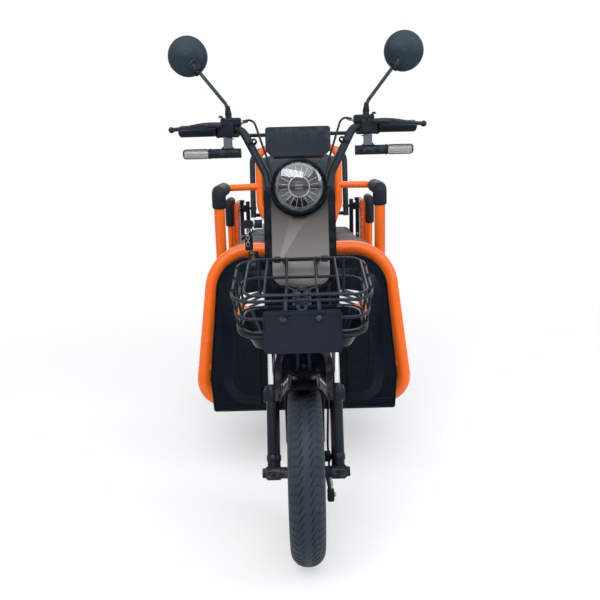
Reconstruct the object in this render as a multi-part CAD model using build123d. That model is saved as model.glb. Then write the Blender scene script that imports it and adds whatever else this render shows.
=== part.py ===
from build123d import *
import math
import os

# A three-wheeled electric scooter with two rows of seats, in millimetres.
# The design frame has the front axle at Y 0 and the nose towards -Y. Heights are taken from a level
# below the floor, from which the axles stand at AXLE_Z. save() moves every node so that the tyres
# touch Z 0 and the origin lies under the middle of the vehicle.

# ---- wheels and stance ----
WHEELBASE = 1200.0
AXLE_Z = 254.0
TYRE_R = 216.0
TYRE_W = 82.0
BEAD_RATIO = 0.62
SHOULDER_DROP = 38.0
CROWN_DROP = 9.0
BEAD_RISE = 20.0
RIM_R = 137.0
TRACK = 510.0
HEAD_ANGLE = 22.0
TRAIL = 70.0
AXLE_R = 7.5
SHAFT_R = 10.0
RUNNING_GAP = 0.05
HUB_R = 34.0
SPOKES = 5
SPOKE_FOOT = 38.0
SPOKE_TIP = 22.0
SPOKE_T = 22.0
RIM_T = 14.0
FRONT_HUB_HALF = 27.0
REAR_HUB_HALF = 36.0
DRUM_R = 58.0
DRUM_L = 20.0
BRAKE_X = 39.0
PLATE_T = 12.0
BRAKE_SHAFT = (51.0, 20.0, 238.0)
BRAKE_ARM_END = (61.0, 66.0, 158.0)
BRAKE_ARM_R = 5.0
CABLE_CLAMP = (18.0, 26.0, 30.0)
ANCHOR_Y = 36.0
SPACER_R = 14.0
NUT_R = 13.0
NUT_T = 12.0

# ---- fork, in the steering frame: s runs up the steering axis from the floor ----
FORK_SPACING = 156.0
LEG_R = 16.0
LEG_TOP = 470.0
CUP_H = 36.0
CUP_R = 19.0
LUG_H = 34.0
LUG_D = 38.0
LUG_R = 14.0
STANCHION_R = 11.0
LOWER_YOKE_S = 592.0
UPPER_YOKE_S = 764.0
YOKE_T = 26.0
YOKE_D = 60.0
YOKE_W = 200.0
YOKE_CORNER = 20.0
RISER_D = 34.0
RISER_H = 48.0
CLAMP_W = 100.0
STEM_R = 14.0
HEAD_TUBE_R = 24.0
THRUST_GAP = 0.5
ARCH_W = 142.0
ARCH_TOP = 588.0
ARCH_T = 17.0
ARCH_D = 14.0
ARCH_FORWARD = 20.0
FENDER_GAP = 34.0
FENDER_CHEEK = 26.0
FENDER_FLARE = 18.0
STRAP_W = 22.0
FENDER_W = 104.0
FENDER_STRAP = 505.0
FENDER_FRONT = 108.0
FENDER_BACK = -6.0
SKIN = 4.0

# ---- handlebar and what it carries ----
BAR_R = 11.0
BAR_Z = 1074.0
BAR_HALF = 324.0
BAR_Y = 404.0
BAR_SWEEP = 48.0
BAR_BEND = 34.0
BRACE_X = 140.0
BRACE_Y = 374.0
BRACE_R = 5.0
LEVER_X = 206.0
LEVER_REACH = 20.0
LEVER_R = 5.5
LEVER_BALL_R = 8.5
GRIP_R = 16.0
GRIP_L = 122.0
GRIP_CAP = 5.0
FLANGE_RISE = 5.0
FLANGE_T = 6.0
POD_L = 50.0
POD_D = 40.0
POD_H = 46.0
POD_SHIFT = 12.0
PERCH_X = 180.0
PERCH_L = 56.0
PERCH_D = 30.0
PERCH_H = 24.0
MIRROR_R = 51.0
MIRROR_X = 280.0
MIRROR_Y = 336.0
MIRROR_Z = 1261.0
MIRROR_RIM = 4.0
STEM_ROD_R = 5.0
SIGNAL_R = 13.0
SIGNAL_Z = 1012.0
SIGNAL_X = (156.0, 244.0, 316.0)
HANGER_X = 192.0
LAMP_R = 68.0
LAMP_Y = 134.0
LAMP_Z = 932.0
LAMP_FINS = 18
LAMP_RIM = 7.0
RING_T = 24.0
RING_SET = 12.0
PROJECTOR_R = (20.0, 26.0)
FIN_L = 28.0
STAY_DROP = 46.0
STALK_R = 8.0
DISPLAY_W = 168.0
DISPLAY_H = 76.0
DISPLAY_D = 34.0
DISPLAY_CUT = 20.0
DISPLAY_TILT = 12.0
DISPLAY_Y = 296.0
NACELLE_W = 176.0
NACELLE_TOP = 945.0
NACELLE_BOTTOM = 690.0
NACELLE_Y = 108.0
NACELLE_D = 120.0
NACELLE_LEAN = 14.0
NACELLE_TOP_R = 26.0
NACELLE_FOOT_R = 40.0
KEY_Z = 836.0
KEY_BACK = 110.0
BARREL_R = 11.0
BARREL_L = 30.0
KEY_RING_R = 12.0
FOB = (20.0, 10.0, 40.0)
REMOTE = (26.0, 12.0, 46.0)
CABLE_R = 3.0

# ---- basket ----
BASKET_W = 302.0
BASKET_D = 262.0
BASKET_TOP = 742.0
BASKET_Y = -50.0
BASKET_TILT = 10.0
WIRE_R = 3.5
RIM_CORNER = 46.0
RING_CORNER = 42.0
RINGS = ((42.0, 12.0), (84.0, 20.0))
POST_DROP = 84.0
POST_INSET = 10.0
BACK_PLACES = (-100.0, -36.0, 36.0, 100.0)
FRONT_PLACES = (-36.0, 36.0)
SIDE_PLACES = (-70.0, 0.0, 70.0)
ARM_X_IN = 40.0
ARM_ROD_R = 5.0
LID_R = 3.0
LID_WIRE_X = (32.0, 78.0)
HINGE_EYE_X = 56.0
LID_DROP = (44.0, 32.0)
LID_RISE = 10.0
LID_CORNER = 34.0
KNOB_R = 12.0
LATCH_REACH = 34.0
LID_SHIFT = 8.0
LINER_W = 264.0
LINER_D = 134.0
LINER_Y = -45.0
LINER_REST = 0.1
LINER_FLANGE = 5.5
LINER_FOOT = -128.0
LINER_TAPER = 46.0
LINER_CORNER = 40.0
PLATE_W = 160.0
PLATE_H = 88.0
PLATE_Y = -196.0
PLATE_Z = 660.0
PLATE_LEAN = 8.0
PLATE_THICK = 2.5
PLATE_BOLT_X = 34.0
PLATE_CORNER = 8.0
SLOT = (28.0, 5.0)
SLOT_DROP = 14.0
HOLDER_R = 4.0

# ---- leg shield and guard hoop ----
SHIELD_LEAN = 10.0
SHIELD_FOOT = 242.0
SHIELD_H = 468.0
SHIELD_W = 566.0
SHIELD_WAIST = 100.0
SHIELD_TOP_W = 500.0
SHIELD_FOOT_W = 549.0
SHIELD_CORNER = 105.0
SHIELD_FOOT_R = 8.0
SHIELD_T = 26.0
SHIELD_Y = 452.0
RAISE = 22.0
RAISED_W = 420.0
RAISED_FOOT = 52.0
RAISED_H = 342.0
RAISED_R = 46.0
RAISED_SLOPE = 32.0
WELL_W = 262.0
WELL_TOP = 215.0
WELL_R = 40.0
TUBE_GAP = 1.0
HEAD_CLEAR = 8.0
HOOP_W = 681.0
HOOP_NARROW = 54.0
HOOP_R = 20.5
HOOP_TOP = 736.0
HOOP_FOOT = 272.0
HOOP_Y = 510.0
HOOP_BEND = 125.0
HOOP_FOOT_BEND = 66.0
HOOP_SET_BACK = 30.0
STAY_Z = (360.0, 560.0)
STAY_R = 7.0

# ---- frame, floor and boxes ----
DOWN_R = 22.0
TUBE_R = 14.0
CROSS_R = 12.0
RAIL_X = 188.0
RAIL_Z = 242.0
REAR_RAIL_Z = 336.0
FLOOR_W = 500.0
FLOOR_T = 14.0
BOX_HALF = 172.0
BOX_FRONT = 875.0
BOX_BACK = 1112.0
BOX_GAP = 60.0
REAR_BODY_BACK = 1505.0
REAR_PLATE_Z = 430.0
TAIL_LAMP = (70.0, 22.0, 40.0)
TAIL_LAMP_Z = 470.0
REAR_BOLT_R = 3.25
REAR_BOLT_DEPTH = 16.0
UPRIGHT_Y = (862.0, 1270.0, 1490.0)
UPRIGHT_R = 11.0
SEAT_SPAN = 283.0
BRACKET_X = 120.0
SEAT_RING_Z = 595.0
SEAT_TUBE_R = 12.0
SEAT_BOTTOM = 616.0
CUSHION_T = 68.0
FRONT_SEAT_HALF = (264.0, 224.0)
PAN_HALF = (236.0, 206.0)
PAN_INSET = 14.0
PAN_T = 5.0

# ---- rear axle ----
AXLE_TUBE_R = 27.0
AXLE_HALF = 196.0
REAR_NUT_R = 16.0
REAR_NUT_T = 14.0
MOTOR_R = 66.0
MOTOR_W = 150.0
REAR_FENDER_W = 100.0
REAR_FENDER_CHEEK = 30.0
REAR_FENDER_FLARE = 10.0
REAR_FENDER_ARC = (12.0, 168.0)
REAR_STAYS = (-110.0, 130.0)

# ---- front bench ----
FRONT_SEAT_Y = 846.0
FRONT_SEAT_D = 300.0
ARM_X = 283.0
ARM_FRONT = 923.0
ARM_BACK = 1174.0
ARM_Z = 872.0
PAD_DROP = 58.0
ARM_R = 13.0
ARM_BEND = 48.0
SLEEVE_R = 19.0
PAD_R = 25.0
BACKREST_HALF = 154.0
BACKREST_TOP = 1016.0
BACKREST_TUBE_R = 14.0
BACKREST_LEAN = 0.09
BACKREST_FOOT = 118.0
BACKREST_BEND = 40.0
BACK_PAD_LOW = 735.0
BACK_PAD_T = 46.0
HINGE_X = 120.0
HINGE_Y = 840.0
HINGE_Z = 611.0
HINGE_R = 3.0
HINGE_W = 40.0

# ---- rear bench ----
REAR_SEAT_Y = 1215.0
REAR_SEAT_D = 275.0
REAR_SEAT_HALF = 225.0
POST_X = 227.0
POST_R = 9.0
OUTER_POST_X = 254.0
PIVOT_Y = 1540.0
PIVOT_Z = 760.0
PIVOT_R = 6.0
REAR_LOOP_HALF = 203.0
REAR_LOOP_R = 12.0
REAR_LOOP_TOP = 1010.0
REAR_LOOP_LEG = 40.0
REAR_LOOP_BEND = 60.0
REAR_PAD_T = 40.0
REAR_PAD_CORNER = 36.0
REAR_ARM_BEND = 46.0
REAR_ARM_X = 288.0
REAR_ARM_R = 11.0
REAR_ARM_Z = 802.0
REAR_PAD_R = 18.0
REAR_PAD_FOOT = 706.0
GUARD_X = 254.0
GUARD_Z = 690.0
GUARD_H = 112.0
GUARD_RIBS = 8
REAR_ARM_Y = 1335.0
POST_TOP = 790.0

REAR_END = 1612.0
MIDDLE_Y = (REAR_END - TYRE_R) / 2
REAR_LEAN = (REAR_END - REAR_LOOP_R - PIVOT_Y) / (REAR_LOOP_TOP - PIVOT_Z)

SIN = math.sin(math.radians(HEAD_ANGLE))
COS = math.cos(math.radians(HEAD_ANGLE))
LEG_X = FORK_SPACING / 2
FORK_Y = TRAIL * COS - AXLE_Z * SIN
FORK_AXLE_S = TRAIL * SIN + AXLE_Z * COS
FLOOR_Z = AXLE_Z - TYRE_R


def save(name, shape):
    """Write one node, moved so that the origin is on the floor under the middle of the vehicle."""
    moved = Pos(0, -MIDDLE_Y, -FLOOR_Z) * shape
    moved.label = name
    export_step(moved, f"parts/{name}.step")


def steered(shape):
    """Place a shape drawn along the upright steering axis on the raked one."""
    return Pos(0, -TRAIL, 0) * Rot(-HEAD_ANGLE, 0, 0) * shape


def steer_point(x, y, s):
    """A point given in the steering frame, in the design frame."""
    return (x, -TRAIL + y * COS + s * SIN, -y * SIN + s * COS)


def bar(start, end, radius):
    """A straight round bar between two points."""
    line = Line(start, end)
    return sweep(Plane(origin=line @ 0, z_dir=line % 0) * Circle(radius), path=line)


def bent(points, bend, radius):
    """A round tube along straight runs joined by arcs."""
    path = FilletPolyline(*points, radius=bend)
    return sweep(Plane(origin=path @ 0, z_dir=path % 0) * Circle(radius), path=path)


def flip(points):
    """The same points on the other side of the vehicle."""
    return [(-x, y, z) for x, y, z in points]


def both(shape):
    """A shape and its mirror image across the centre plane."""
    return Compound(children=[shape, mirror(shape, Plane.YZ)])


def block(x, y, z, centre):
    """A plain box about a centre."""
    return Pos(*centre) * Box(x, y, z)


def soft_box(x, y, z, centre, radius):
    """A box with all edges rounded."""
    shape = Box(x, y, z)
    return Pos(*centre) * fillet(shape.edges(), radius)


def across(radius, width, centre):
    """A cylinder whose axis runs across the vehicle."""
    return Pos(*centre) * Rot(0, 90, 0) * Cylinder(radius, width)


# ---------------------------------------------------------------- wheels

def spun(section, centre, start=0.0, end=360.0):
    """Turn a section (across, out) about a wheel axis, between angles from the rear horizontal."""
    solid = revolve(Plane.XZ * section, Axis.X, end - start)
    return Pos(*centre) * Rot(start - 90, 0, 0) * solid


def tyre(centre):
    """A solid tyre ring with a rounded crown and straight lower walls."""
    half = TYRE_W / 2
    bead = half * BEAD_RATIO
    shoulder = TYRE_R - SHOULDER_DROP
    brow = TYRE_R - CROWN_DROP
    crown = Spline((-half, shoulder), (-bead, brow), (0, TYRE_R), (bead, brow), (half, shoulder),
                   tangents=((0, 1), (0, -1)))
    walls = Polyline((half, shoulder), (half, RIM_R + BEAD_RISE), (bead, RIM_R), (-bead, RIM_R),
                     (-half, RIM_R + BEAD_RISE), (-half, shoulder))
    return spun(make_face((crown + walls).edges()), centre)


def wheel(centre, bore_r, hub_half, drum_side=0):
    """A cast wheel: rim ring, five spokes and a bored hub, with a drum where there is a brake."""
    half = TYRE_W / 2 * BEAD_RATIO
    rim = Cylinder(RIM_R, 2 * half) - Cylinder(RIM_R - RIM_T, 2 * half)
    hub = Cylinder(HUB_R, 2 * hub_half)
    root = HUB_R - 6
    tip = RIM_R - RIM_T / 2
    outline = Polyline((root, -SPOKE_FOOT / 2), (tip, -SPOKE_TIP / 2), (tip, SPOKE_TIP / 2),
                       (root, SPOKE_FOOT / 2), close=True)
    arm = extrude(make_face(outline.edges()), SPOKE_T / 2, both=True)
    shape = rim + hub
    for turn in range(SPOKES):
        shape += Rot(0, 0, turn * 360 / SPOKES + 90) * arm
    if drum_side:
        shape += Pos(0, 0, drum_side * (hub_half - DRUM_L / 2)) * Cylinder(DRUM_R, DRUM_L)
    shape -= Cylinder(bore_r, 4 * hub_half)
    return Pos(*centre) * Rot(0, 90, 0) * shape


def arched(half_width, inner_r, cheek, flare):
    """The section of a mudguard: a flat crown and two cheeks that flare outward."""
    def outline(side, top, foot):
        edge = Polyline((-side, foot), (flare - side, top), (side - flare, top), (side, foot), close=True)
        return fillet(make_face(edge.edges()).vertices().group_by(Axis.Y)[-1], flare * 0.6)

    foot = inner_r - cheek
    return outline(half_width, inner_r + SKIN, foot) - outline(half_width - SKIN, inner_r, foot)


# ---------------------------------------------------------------- front fork

def fork_yokes():
    """The lower yoke, the stem, the upper clamp and the riser that holds the handlebar."""
    wide = Box(YOKE_W, YOKE_D, YOKE_T)
    wide = fillet(wide.edges().filter_by(Axis.Z), YOKE_CORNER)
    short = fillet(Box(CLAMP_W, YOKE_D, YOKE_T).edges().filter_by(Axis.Z), 12)
    lower = Pos(0, FORK_Y / 2, LOWER_YOKE_S + YOKE_T / 2) * wide
    upper = Pos(0, FORK_Y / 2, UPPER_YOKE_S + YOKE_T / 2) * short
    reach = UPPER_YOKE_S - LOWER_YOKE_S
    stem = Pos(0, 0, LOWER_YOKE_S + reach / 2 + YOKE_T / 2) * Cylinder(STEM_R, reach)
    riser = Pos(0, 0, UPPER_YOKE_S + YOKE_T + RISER_H / 2) * Box(CLAMP_W, RISER_D, RISER_H)
    shape = lower + upper + stem + riser
    for side in (-1, 1):
        shape -= Pos(side * LEG_X, FORK_Y, 700) * Cylinder(STANCHION_R, 800)
    return steered(shape) - handlebar_tube()


def stanchions():
    """The two bright upper tubes, from the leg tops to the lower yoke."""
    top = LOWER_YOKE_S + YOKE_T
    tube = Pos(LEG_X, FORK_Y, (LEG_TOP + top) / 2) * Cylinder(STANCHION_R, top - LEG_TOP)
    return both(steered(tube))


def fork_legs():
    """The lower legs with their seal cups and axle lugs, joined by the arch."""
    foot = FORK_AXLE_S - LUG_H / 2 + 2
    low = LEG_TOP - CUP_H
    round_r = ARCH_W / 2
    centre = ARCH_TOP - round_r
    outer = Pos(0, centre) * Circle(round_r) + Pos(0, (low + centre) / 2) * Rectangle(ARCH_W, centre - low)
    open_w = ARCH_W - 2 * ARCH_T
    inner = Pos(0, centre) * Circle(open_w / 2) + Pos(0, centre / 2) * Rectangle(open_w, centre)
    arch = extrude(Plane.XZ * (outer - inner), ARCH_D / 2, both=True)
    shape = Pos(0, FORK_Y - ARCH_FORWARD, 0) * arch
    for side in (-1, 1):
        leg = Pos(side * LEG_X, FORK_Y, (foot + LEG_TOP) / 2) * Cylinder(LEG_R, LEG_TOP - foot)
        cup = Pos(side * LEG_X, FORK_Y, LEG_TOP - CUP_H / 2) * Cylinder(CUP_R, CUP_H)
        lug = Pos(side * LEG_X, FORK_Y, FORK_AXLE_S) * Box(2 * LEG_R, LUG_D, LUG_H)
        shape += leg + cup + fillet(lug.edges().filter_by(Axis.X), LUG_R)
    shape -= Pos(0, FORK_Y, FORK_AXLE_S) * Rot(0, 90, 0) * Cylinder(AXLE_R, 400)
    return steered(shape)


def front_axle():
    """The axle with a nut at each end."""
    shaft = across(AXLE_R, FORK_SPACING + 50, (0, 0, AXLE_Z))
    for side in (-1, 1):
        nut = extrude(RegularPolygon(NUT_R, 6), NUT_T)
        shaft += Pos(side * (LEG_X + LEG_R), 0, AXLE_Z) * Rot(0, 90 * side, 0) * nut
    return shaft


def front_fender():
    """The front mudguard, a rounded skin that hangs from the arch by a bracket."""
    inner = TYRE_R + FENDER_GAP
    section = arched(FENDER_W / 2, inner, FENDER_CHEEK, FENDER_FLARE)
    shape = spun(section, (0, 0, AXLE_Z), FENDER_BACK, FENDER_FRONT)
    strap = Pos(0, FORK_Y - ARCH_FORWARD, (ARCH_TOP - ARCH_T + FENDER_STRAP) / 2)
    strap *= Box(STRAP_W, ARCH_D, ARCH_TOP - ARCH_T - FENDER_STRAP)
    return shape + (steered(strap) - fork_legs() - across(inner + 1, 200, (0, 0, AXLE_Z)))


def front_brake():
    """The drum brake's back plate, its torque anchor and the cable arm, on the left of the wheel."""
    plate = across(DRUM_R, PLATE_T, (BRAKE_X, 0, AXLE_Z))
    face = BRAKE_X + PLATE_T / 2
    leg_face = LEG_X - LEG_R
    spacer = across(SPACER_R, leg_face - face, ((leg_face + face) / 2, 0, AXLE_Z))
    anchor = block(20, 16, 22, (face + 6, ANCHOR_Y, AXLE_Z + 24))
    arm = bar(BRAKE_SHAFT, BRAKE_ARM_END, BRAKE_ARM_R)
    clamp = soft_box(*CABLE_CLAMP, BRAKE_ARM_END, 5)
    root = across(BRAKE_ARM_R + 4, 16, BRAKE_SHAFT)
    shape = plate + spacer + anchor + arm + clamp + root
    return shape - across(AXLE_R, 300, (0, 0, AXLE_Z))


def wheel_spacer():
    """The plain spacer between the wheel and the right leg."""
    width = LEG_X - LEG_R - FRONT_HUB_HALF - 1
    tube = across(SPACER_R, width, (-(LEG_X - LEG_R - width / 2), 0, AXLE_Z))
    return tube - across(AXLE_R, 300, (0, 0, AXLE_Z))


# ---------------------------------------------------------------- handlebar

def bar_points():
    """The right half of the handlebar from its clamp to its end."""
    _, clamp_y, clamp_z = steer_point(0, 0, UPPER_YOKE_S + YOKE_T + RISER_H - 1.5 * BAR_R)
    return [(0, clamp_y, clamp_z), (58, clamp_y, clamp_z), (86, 318, 955), (150, 378, BAR_Z),
            (200, BAR_Y, BAR_Z), (BAR_HALF, BAR_Y + BAR_SWEEP, BAR_Z)]


def handlebar_tube(extra=0.0):
    """The bent tube alone, or grown by a gap for what it passes through."""
    points = bar_points()
    path = flip(points[1:])[::-1] + points[1:]
    return bent(path, BAR_BEND, BAR_R + extra)


def handlebar():
    """The bent tube with its thin brace."""
    drop = BAR_Z - 16
    brace = bar((-BRACE_X, BRACE_Y, drop), (BRACE_X, BRACE_Y, drop), BRACE_R)
    return handlebar_tube() + brace


def grip_frame():
    """The plane at the outer end of the left grip, its Z pointing outward."""
    inner, outer = bar_points()[-2:]
    line = Line(inner, outer)
    return Plane(origin=line @ 1, z_dir=line % 1)


def grips():
    """Two rubber grips with closed ends, slid on the bar."""
    plane = grip_frame()
    sleeve = Pos(0, 0, -GRIP_L / 2 + GRIP_CAP) * Cylinder(GRIP_R, GRIP_L)
    flange = Pos(0, 0, GRIP_CAP - GRIP_L + FLANGE_T / 2) * Cylinder(GRIP_R + FLANGE_RISE, FLANGE_T)
    shape = sleeve + flange - Pos(0, 0, -GRIP_L) * Cylinder(BAR_R, 2 * GRIP_L)
    return both(plane * shape)


def switch_housings():
    """The control pods and lever perches, clamped on the bar inside the grips."""
    inner, outer = bar_points()[-2:]
    line = Line(inner, outer)
    plane = Plane(origin=line @ 0, z_dir=line % 0)
    pod = Pos(0, 0, POD_SHIFT - POD_L / 2) * fillet(Box(POD_H, POD_D, POD_L).edges(), 7)
    perch = soft_box(PERCH_L, PERCH_D, PERCH_H, (PERCH_X, BAR_Y - 12, BAR_Z + 20), 6)
    shape = plane * pod + perch
    return both(shape - handlebar_tube() - lever() - mirror_stem())


def lever():
    """The left hand lever with its ball end, in front of the grip."""
    path = [(LEVER_X, BAR_Y - 24, BAR_Z + 14), (LEVER_X + 34, BAR_Y - 40, BAR_Z + 12),
            (BAR_HALF + LEVER_REACH, BAR_Y + BAR_SWEEP - 52, BAR_Z + 4)]
    return bent(path, 18, LEVER_R) + Pos(*path[-1]) * Sphere(LEVER_BALL_R)


def brake_levers():
    """Both hand levers."""
    return both(lever())


def mirror_stem():
    """The left mirror's bent stem, from the lever perch up to the mirror's rim."""
    reach = MIRROR_R - 6
    path = [(186, BAR_Y - 8, BAR_Z + 24), (190, BAR_Y - 12, BAR_Z + 66),
            (MIRROR_X - 0.55 * reach, MIRROR_Y + 3, MIRROR_Z - 0.78 * reach)]
    return bent(path, 22, STEM_ROD_R)


def mirror_stems():
    """Both mirror stems."""
    return both(mirror_stem()) - mirror_heads() - mirror_glass()


def mirror_heads():
    """Two round mirrors: domed backs towards the front and a recess for the glass."""
    rise = MIRROR_R / 2
    glass_r = MIRROR_R - MIRROR_RIM
    walls = Polyline((0, -rise), (0, 9), (glass_r, 9), (glass_r, 14), (MIRROR_R, 14), (MIRROR_R, 0))
    dome = CenterArc((0, 0.75 * MIRROR_R), 1.25 * MIRROR_R, -90, math.degrees(math.atan2(4, 3)))
    shape = revolve(make_face((walls + dome).edges()), Axis.Y)
    return both(Pos(MIRROR_X, MIRROR_Y, MIRROR_Z) * shape)


def mirror_glass():
    """The two glass discs."""
    disc = Rot(90, 0, 0) * Cylinder(MIRROR_R - MIRROR_RIM, 3)
    return both(Pos(MIRROR_X, MIRROR_Y + 10.5, MIRROR_Z) * disc)


def brake_cable(extra=0.0):
    """The left lever's cable: through the cowl, behind the yokes and down to the front brake's arm."""
    route = [(PERCH_X - PERCH_L / 2 + 1, 388, 1094), (118, 366, 1101), (78, 302, 985), (54, 284, 880),
             (66, 205, 760), (70, 188, 645), (74, 196, 575), (62, 132, 430), (56, 90, 290), (61, 72, 168)]
    bends = [30, 90, 60, 60, 90, 60, 120, 90]
    path = FilletPolyline(*route, radius=bends)
    return sweep(Plane(origin=path @ 0, z_dir=path % 0) * Circle(CABLE_R + extra), path=path)


def rear_brake_cable(extra=0.0):
    """The right lever's cable, which runs through the cowl into the upper clamp."""
    route = [(-PERCH_X + PERCH_L / 2 - 1, 388, 1094), (-118, 366, 1101), (-78, 302, 985), (-54, 284, 880),
             (-66, 208, 764), (-49, 206, 727)]
    bends = [30, 90, 60, 30]
    path = FilletPolyline(*route, radius=bends)
    return sweep(Plane(origin=path @ 0, z_dir=path % 0) * Circle(CABLE_R + extra), path=path)


def brake_cables():
    """Both brake cables."""
    cables = brake_cable() + rear_brake_cable()
    return cables - switch_housings() - fork_yokes() - front_brake()


def turn_signals():
    """The indicator bodies, hung from the bar by short brackets."""
    y = BAR_Y - 10
    root, joint = SIGNAL_X[:2]
    body = across(SIGNAL_R, joint - root, ((root + joint) / 2, y, SIGNAL_Z))
    tall = BAR_Z - SIGNAL_Z - 12
    hanger = block(14, 10, tall, (HANGER_X, y + 6, SIGNAL_Z + tall / 2))
    return both(body + hanger) - handlebar_tube() - switch_housings()


def signal_lenses():
    """The clear indicator lenses at the outer ends."""
    y = BAR_Y - 10
    joint, tip = SIGNAL_X[1:]
    lens = across(SIGNAL_R, tip - joint, ((joint + tip) / 2, y, SIGNAL_Z))
    lens = fillet(lens.edges().group_by(Axis.X)[-1], 8)
    return both(lens)


# ---------------------------------------------------------------- nacelle and lamps

def headlight_shell():
    """The lamp bowl with its front ring, open to the front."""
    ring = Cylinder(LAMP_R, RING_T)
    bowl = Pos(0, 0, -30) * Cone(LAMP_R * 0.72, LAMP_R * 0.97, 44)
    shape = ring + bowl
    shape -= Pos(0, 0, 3) * Cylinder(LAMP_R - LAMP_RIM, RING_T)
    stay = block(30, 82, 20, (0, LAMP_Y + 101, LAMP_Z - STAY_DROP))
    return Pos(0, LAMP_Y + RING_SET, LAMP_Z) * Rot(90, 0, 0) * shape + stay


def headlight_core():
    """The projector, its bright ring and the radial fins behind the glass."""
    inner, outer = PROJECTOR_R
    plate = Pos(0, 0, -7.5) * Cylinder(LAMP_R - LAMP_RIM, 3)
    ring = Pos(0, 0, -2) * (Cylinder(outer, 9) - Cylinder(inner, 9))
    shape = plate + ring
    for turn in range(LAMP_FINS):
        fin = Pos(outer + FIN_L / 2 + 2, 0, -3) * Box(FIN_L, 3, 8)
        shape += Rot(0, 0, turn * 360 / LAMP_FINS) * fin
    return Pos(0, LAMP_Y + RING_SET, LAMP_Z) * Rot(90, 0, 0) * shape


def headlight_lens():
    """The clear front glass."""
    disc = Pos(0, 0, 8) * Cylinder(LAMP_R - LAMP_RIM, 5)
    return Pos(0, LAMP_Y + RING_SET, LAMP_Z) * Rot(90, 0, 0) * disc


def display_stalk(extra=0.0):
    """The rod that carries the instrument box, standing on the riser."""
    foot = steer_point(0, 0, UPPER_YOKE_S + YOKE_T + RISER_H - 2)
    return bar((0, DISPLAY_Y + 16, BAR_Z - 60), foot, STALK_R + extra)


def display():
    """The instrument box with cut lower corners, on a bracket above the lamp."""
    case = Box(DISPLAY_W, DISPLAY_D, DISPLAY_H)
    case = chamfer(case.edges().filter_by(Axis.Y).group_by(Axis.Z)[0], DISPLAY_CUT)
    case = fillet(case.edges().filter_by(Axis.Y).group_by(Axis.Z)[-1], 8)
    placed = Pos(0, DISPLAY_Y, BAR_Z - DISPLAY_H / 2) * Rot(-DISPLAY_TILT, 0, 0) * case
    return placed + display_stalk() - headlight_shell() - fork_yokes()


def cowl(grow):
    """The cowl's rounded block, or its hollow when shrunk by a wall, lying back about its lower edge."""
    tall = NACELLE_TOP - NACELLE_BOTTOM
    shape = Box(NACELLE_W + 2 * grow, NACELLE_D, tall + 2 * grow)
    shape = fillet(shape.edges().filter_by(Axis.Y).group_by(Axis.Z)[0], NACELLE_FOOT_R + grow)
    shape = fillet(shape.edges().filter_by(Axis.Y).group_by(Axis.Z)[-1], NACELLE_TOP_R + grow)
    shape = Pos(0, NACELLE_D / 2 - grow, tall / 2) * shape
    return Pos(0, NACELLE_Y, NACELLE_BOTTOM) * Rot(-NACELLE_LEAN, 0, 0) * shape


def nacelle():
    """The hollow cowl around the yoke, open to the rear, with a round hole for the lamp."""
    shape = cowl(0) - cowl(-SKIN)
    shape -= steered(Pos(0, 0, UPPER_YOKE_S) * Cylinder(HEAD_TUBE_R + HEAD_CLEAR, 300))
    shape -= Pos(0, LAMP_Y, LAMP_Z) * Rot(90, 0, 0) * Cylinder(LAMP_R + TUBE_GAP, 160)
    shape -= brake_cable(TUBE_GAP) + rear_brake_cable(TUBE_GAP) + display_stalk(TUBE_GAP)
    return shape - basket_arms() - handlebar_tube(TUBE_GAP)


def key_set():
    """The lock barrel at the side of the cowl, its key and the two fobs that hang from it."""
    x = -NACELLE_W / 2
    y = NACELLE_Y + KEY_BACK
    barrel = across(BARREL_R, BARREL_L, (x - BARREL_L / 2, y, KEY_Z))
    key = block(26, 3, 12, (x - BARREL_L - 10, y, KEY_Z))
    ring = Pos(x - 46, y, KEY_Z - 16) * Rot(90, 0, 0) * Torus(KEY_RING_R, 1.6)
    fob = soft_box(*FOB, (x - 44, y, KEY_Z - 48), 4)
    remote = soft_box(*REMOTE, (x - 34, y, KEY_Z - 92), 4)
    return barrel + key + ring + fob + remote


# ---------------------------------------------------------------- basket

def loop_frame(wide, deep, corner, radius):
    """A flat closed wire loop with rounded corners."""
    rim = RectangleRounded(wide, deep, corner)
    path = rim.wire()
    start = path @ 0
    return sweep(Plane(origin=start, z_dir=path % 0) * Circle(radius), path=path)


def tilted(shape):
    """Place a shape drawn about the middle of the basket's rim."""
    return Pos(0, BASKET_Y, BASKET_TOP) * Rot(BASKET_TILT, 0, 0) * shape


def tilt_point(x, y, z):
    """A point given about the middle of the basket's rim, in the design frame."""
    lean = math.radians(BASKET_TILT)
    return (x, BASKET_Y + y * math.cos(lean) - z * math.sin(lean),
            BASKET_TOP + y * math.sin(lean) + z * math.cos(lean))


def basket_arms():
    """Four short arms that carry the basket on the front faces of the yokes."""
    half_d = BASKET_D / 2 - WIRE_R
    face = FORK_Y / 2 - YOKE_D / 2
    shape = None
    for x in (-ARM_X_IN, ARM_X_IN):
        low = bar(tilt_point(x, half_d - POST_INSET, -POST_DROP),
                  steer_point(x, face + 3, LOWER_YOKE_S + YOKE_T / 2), ARM_ROD_R)
        high = bar(tilt_point(x, half_d, 0), steer_point(x, face + 3, UPPER_YOKE_S + YOKE_T / 2), ARM_ROD_R)
        shape = low + high if shape is None else shape + low + high
    return shape - fork_yokes()


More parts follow.
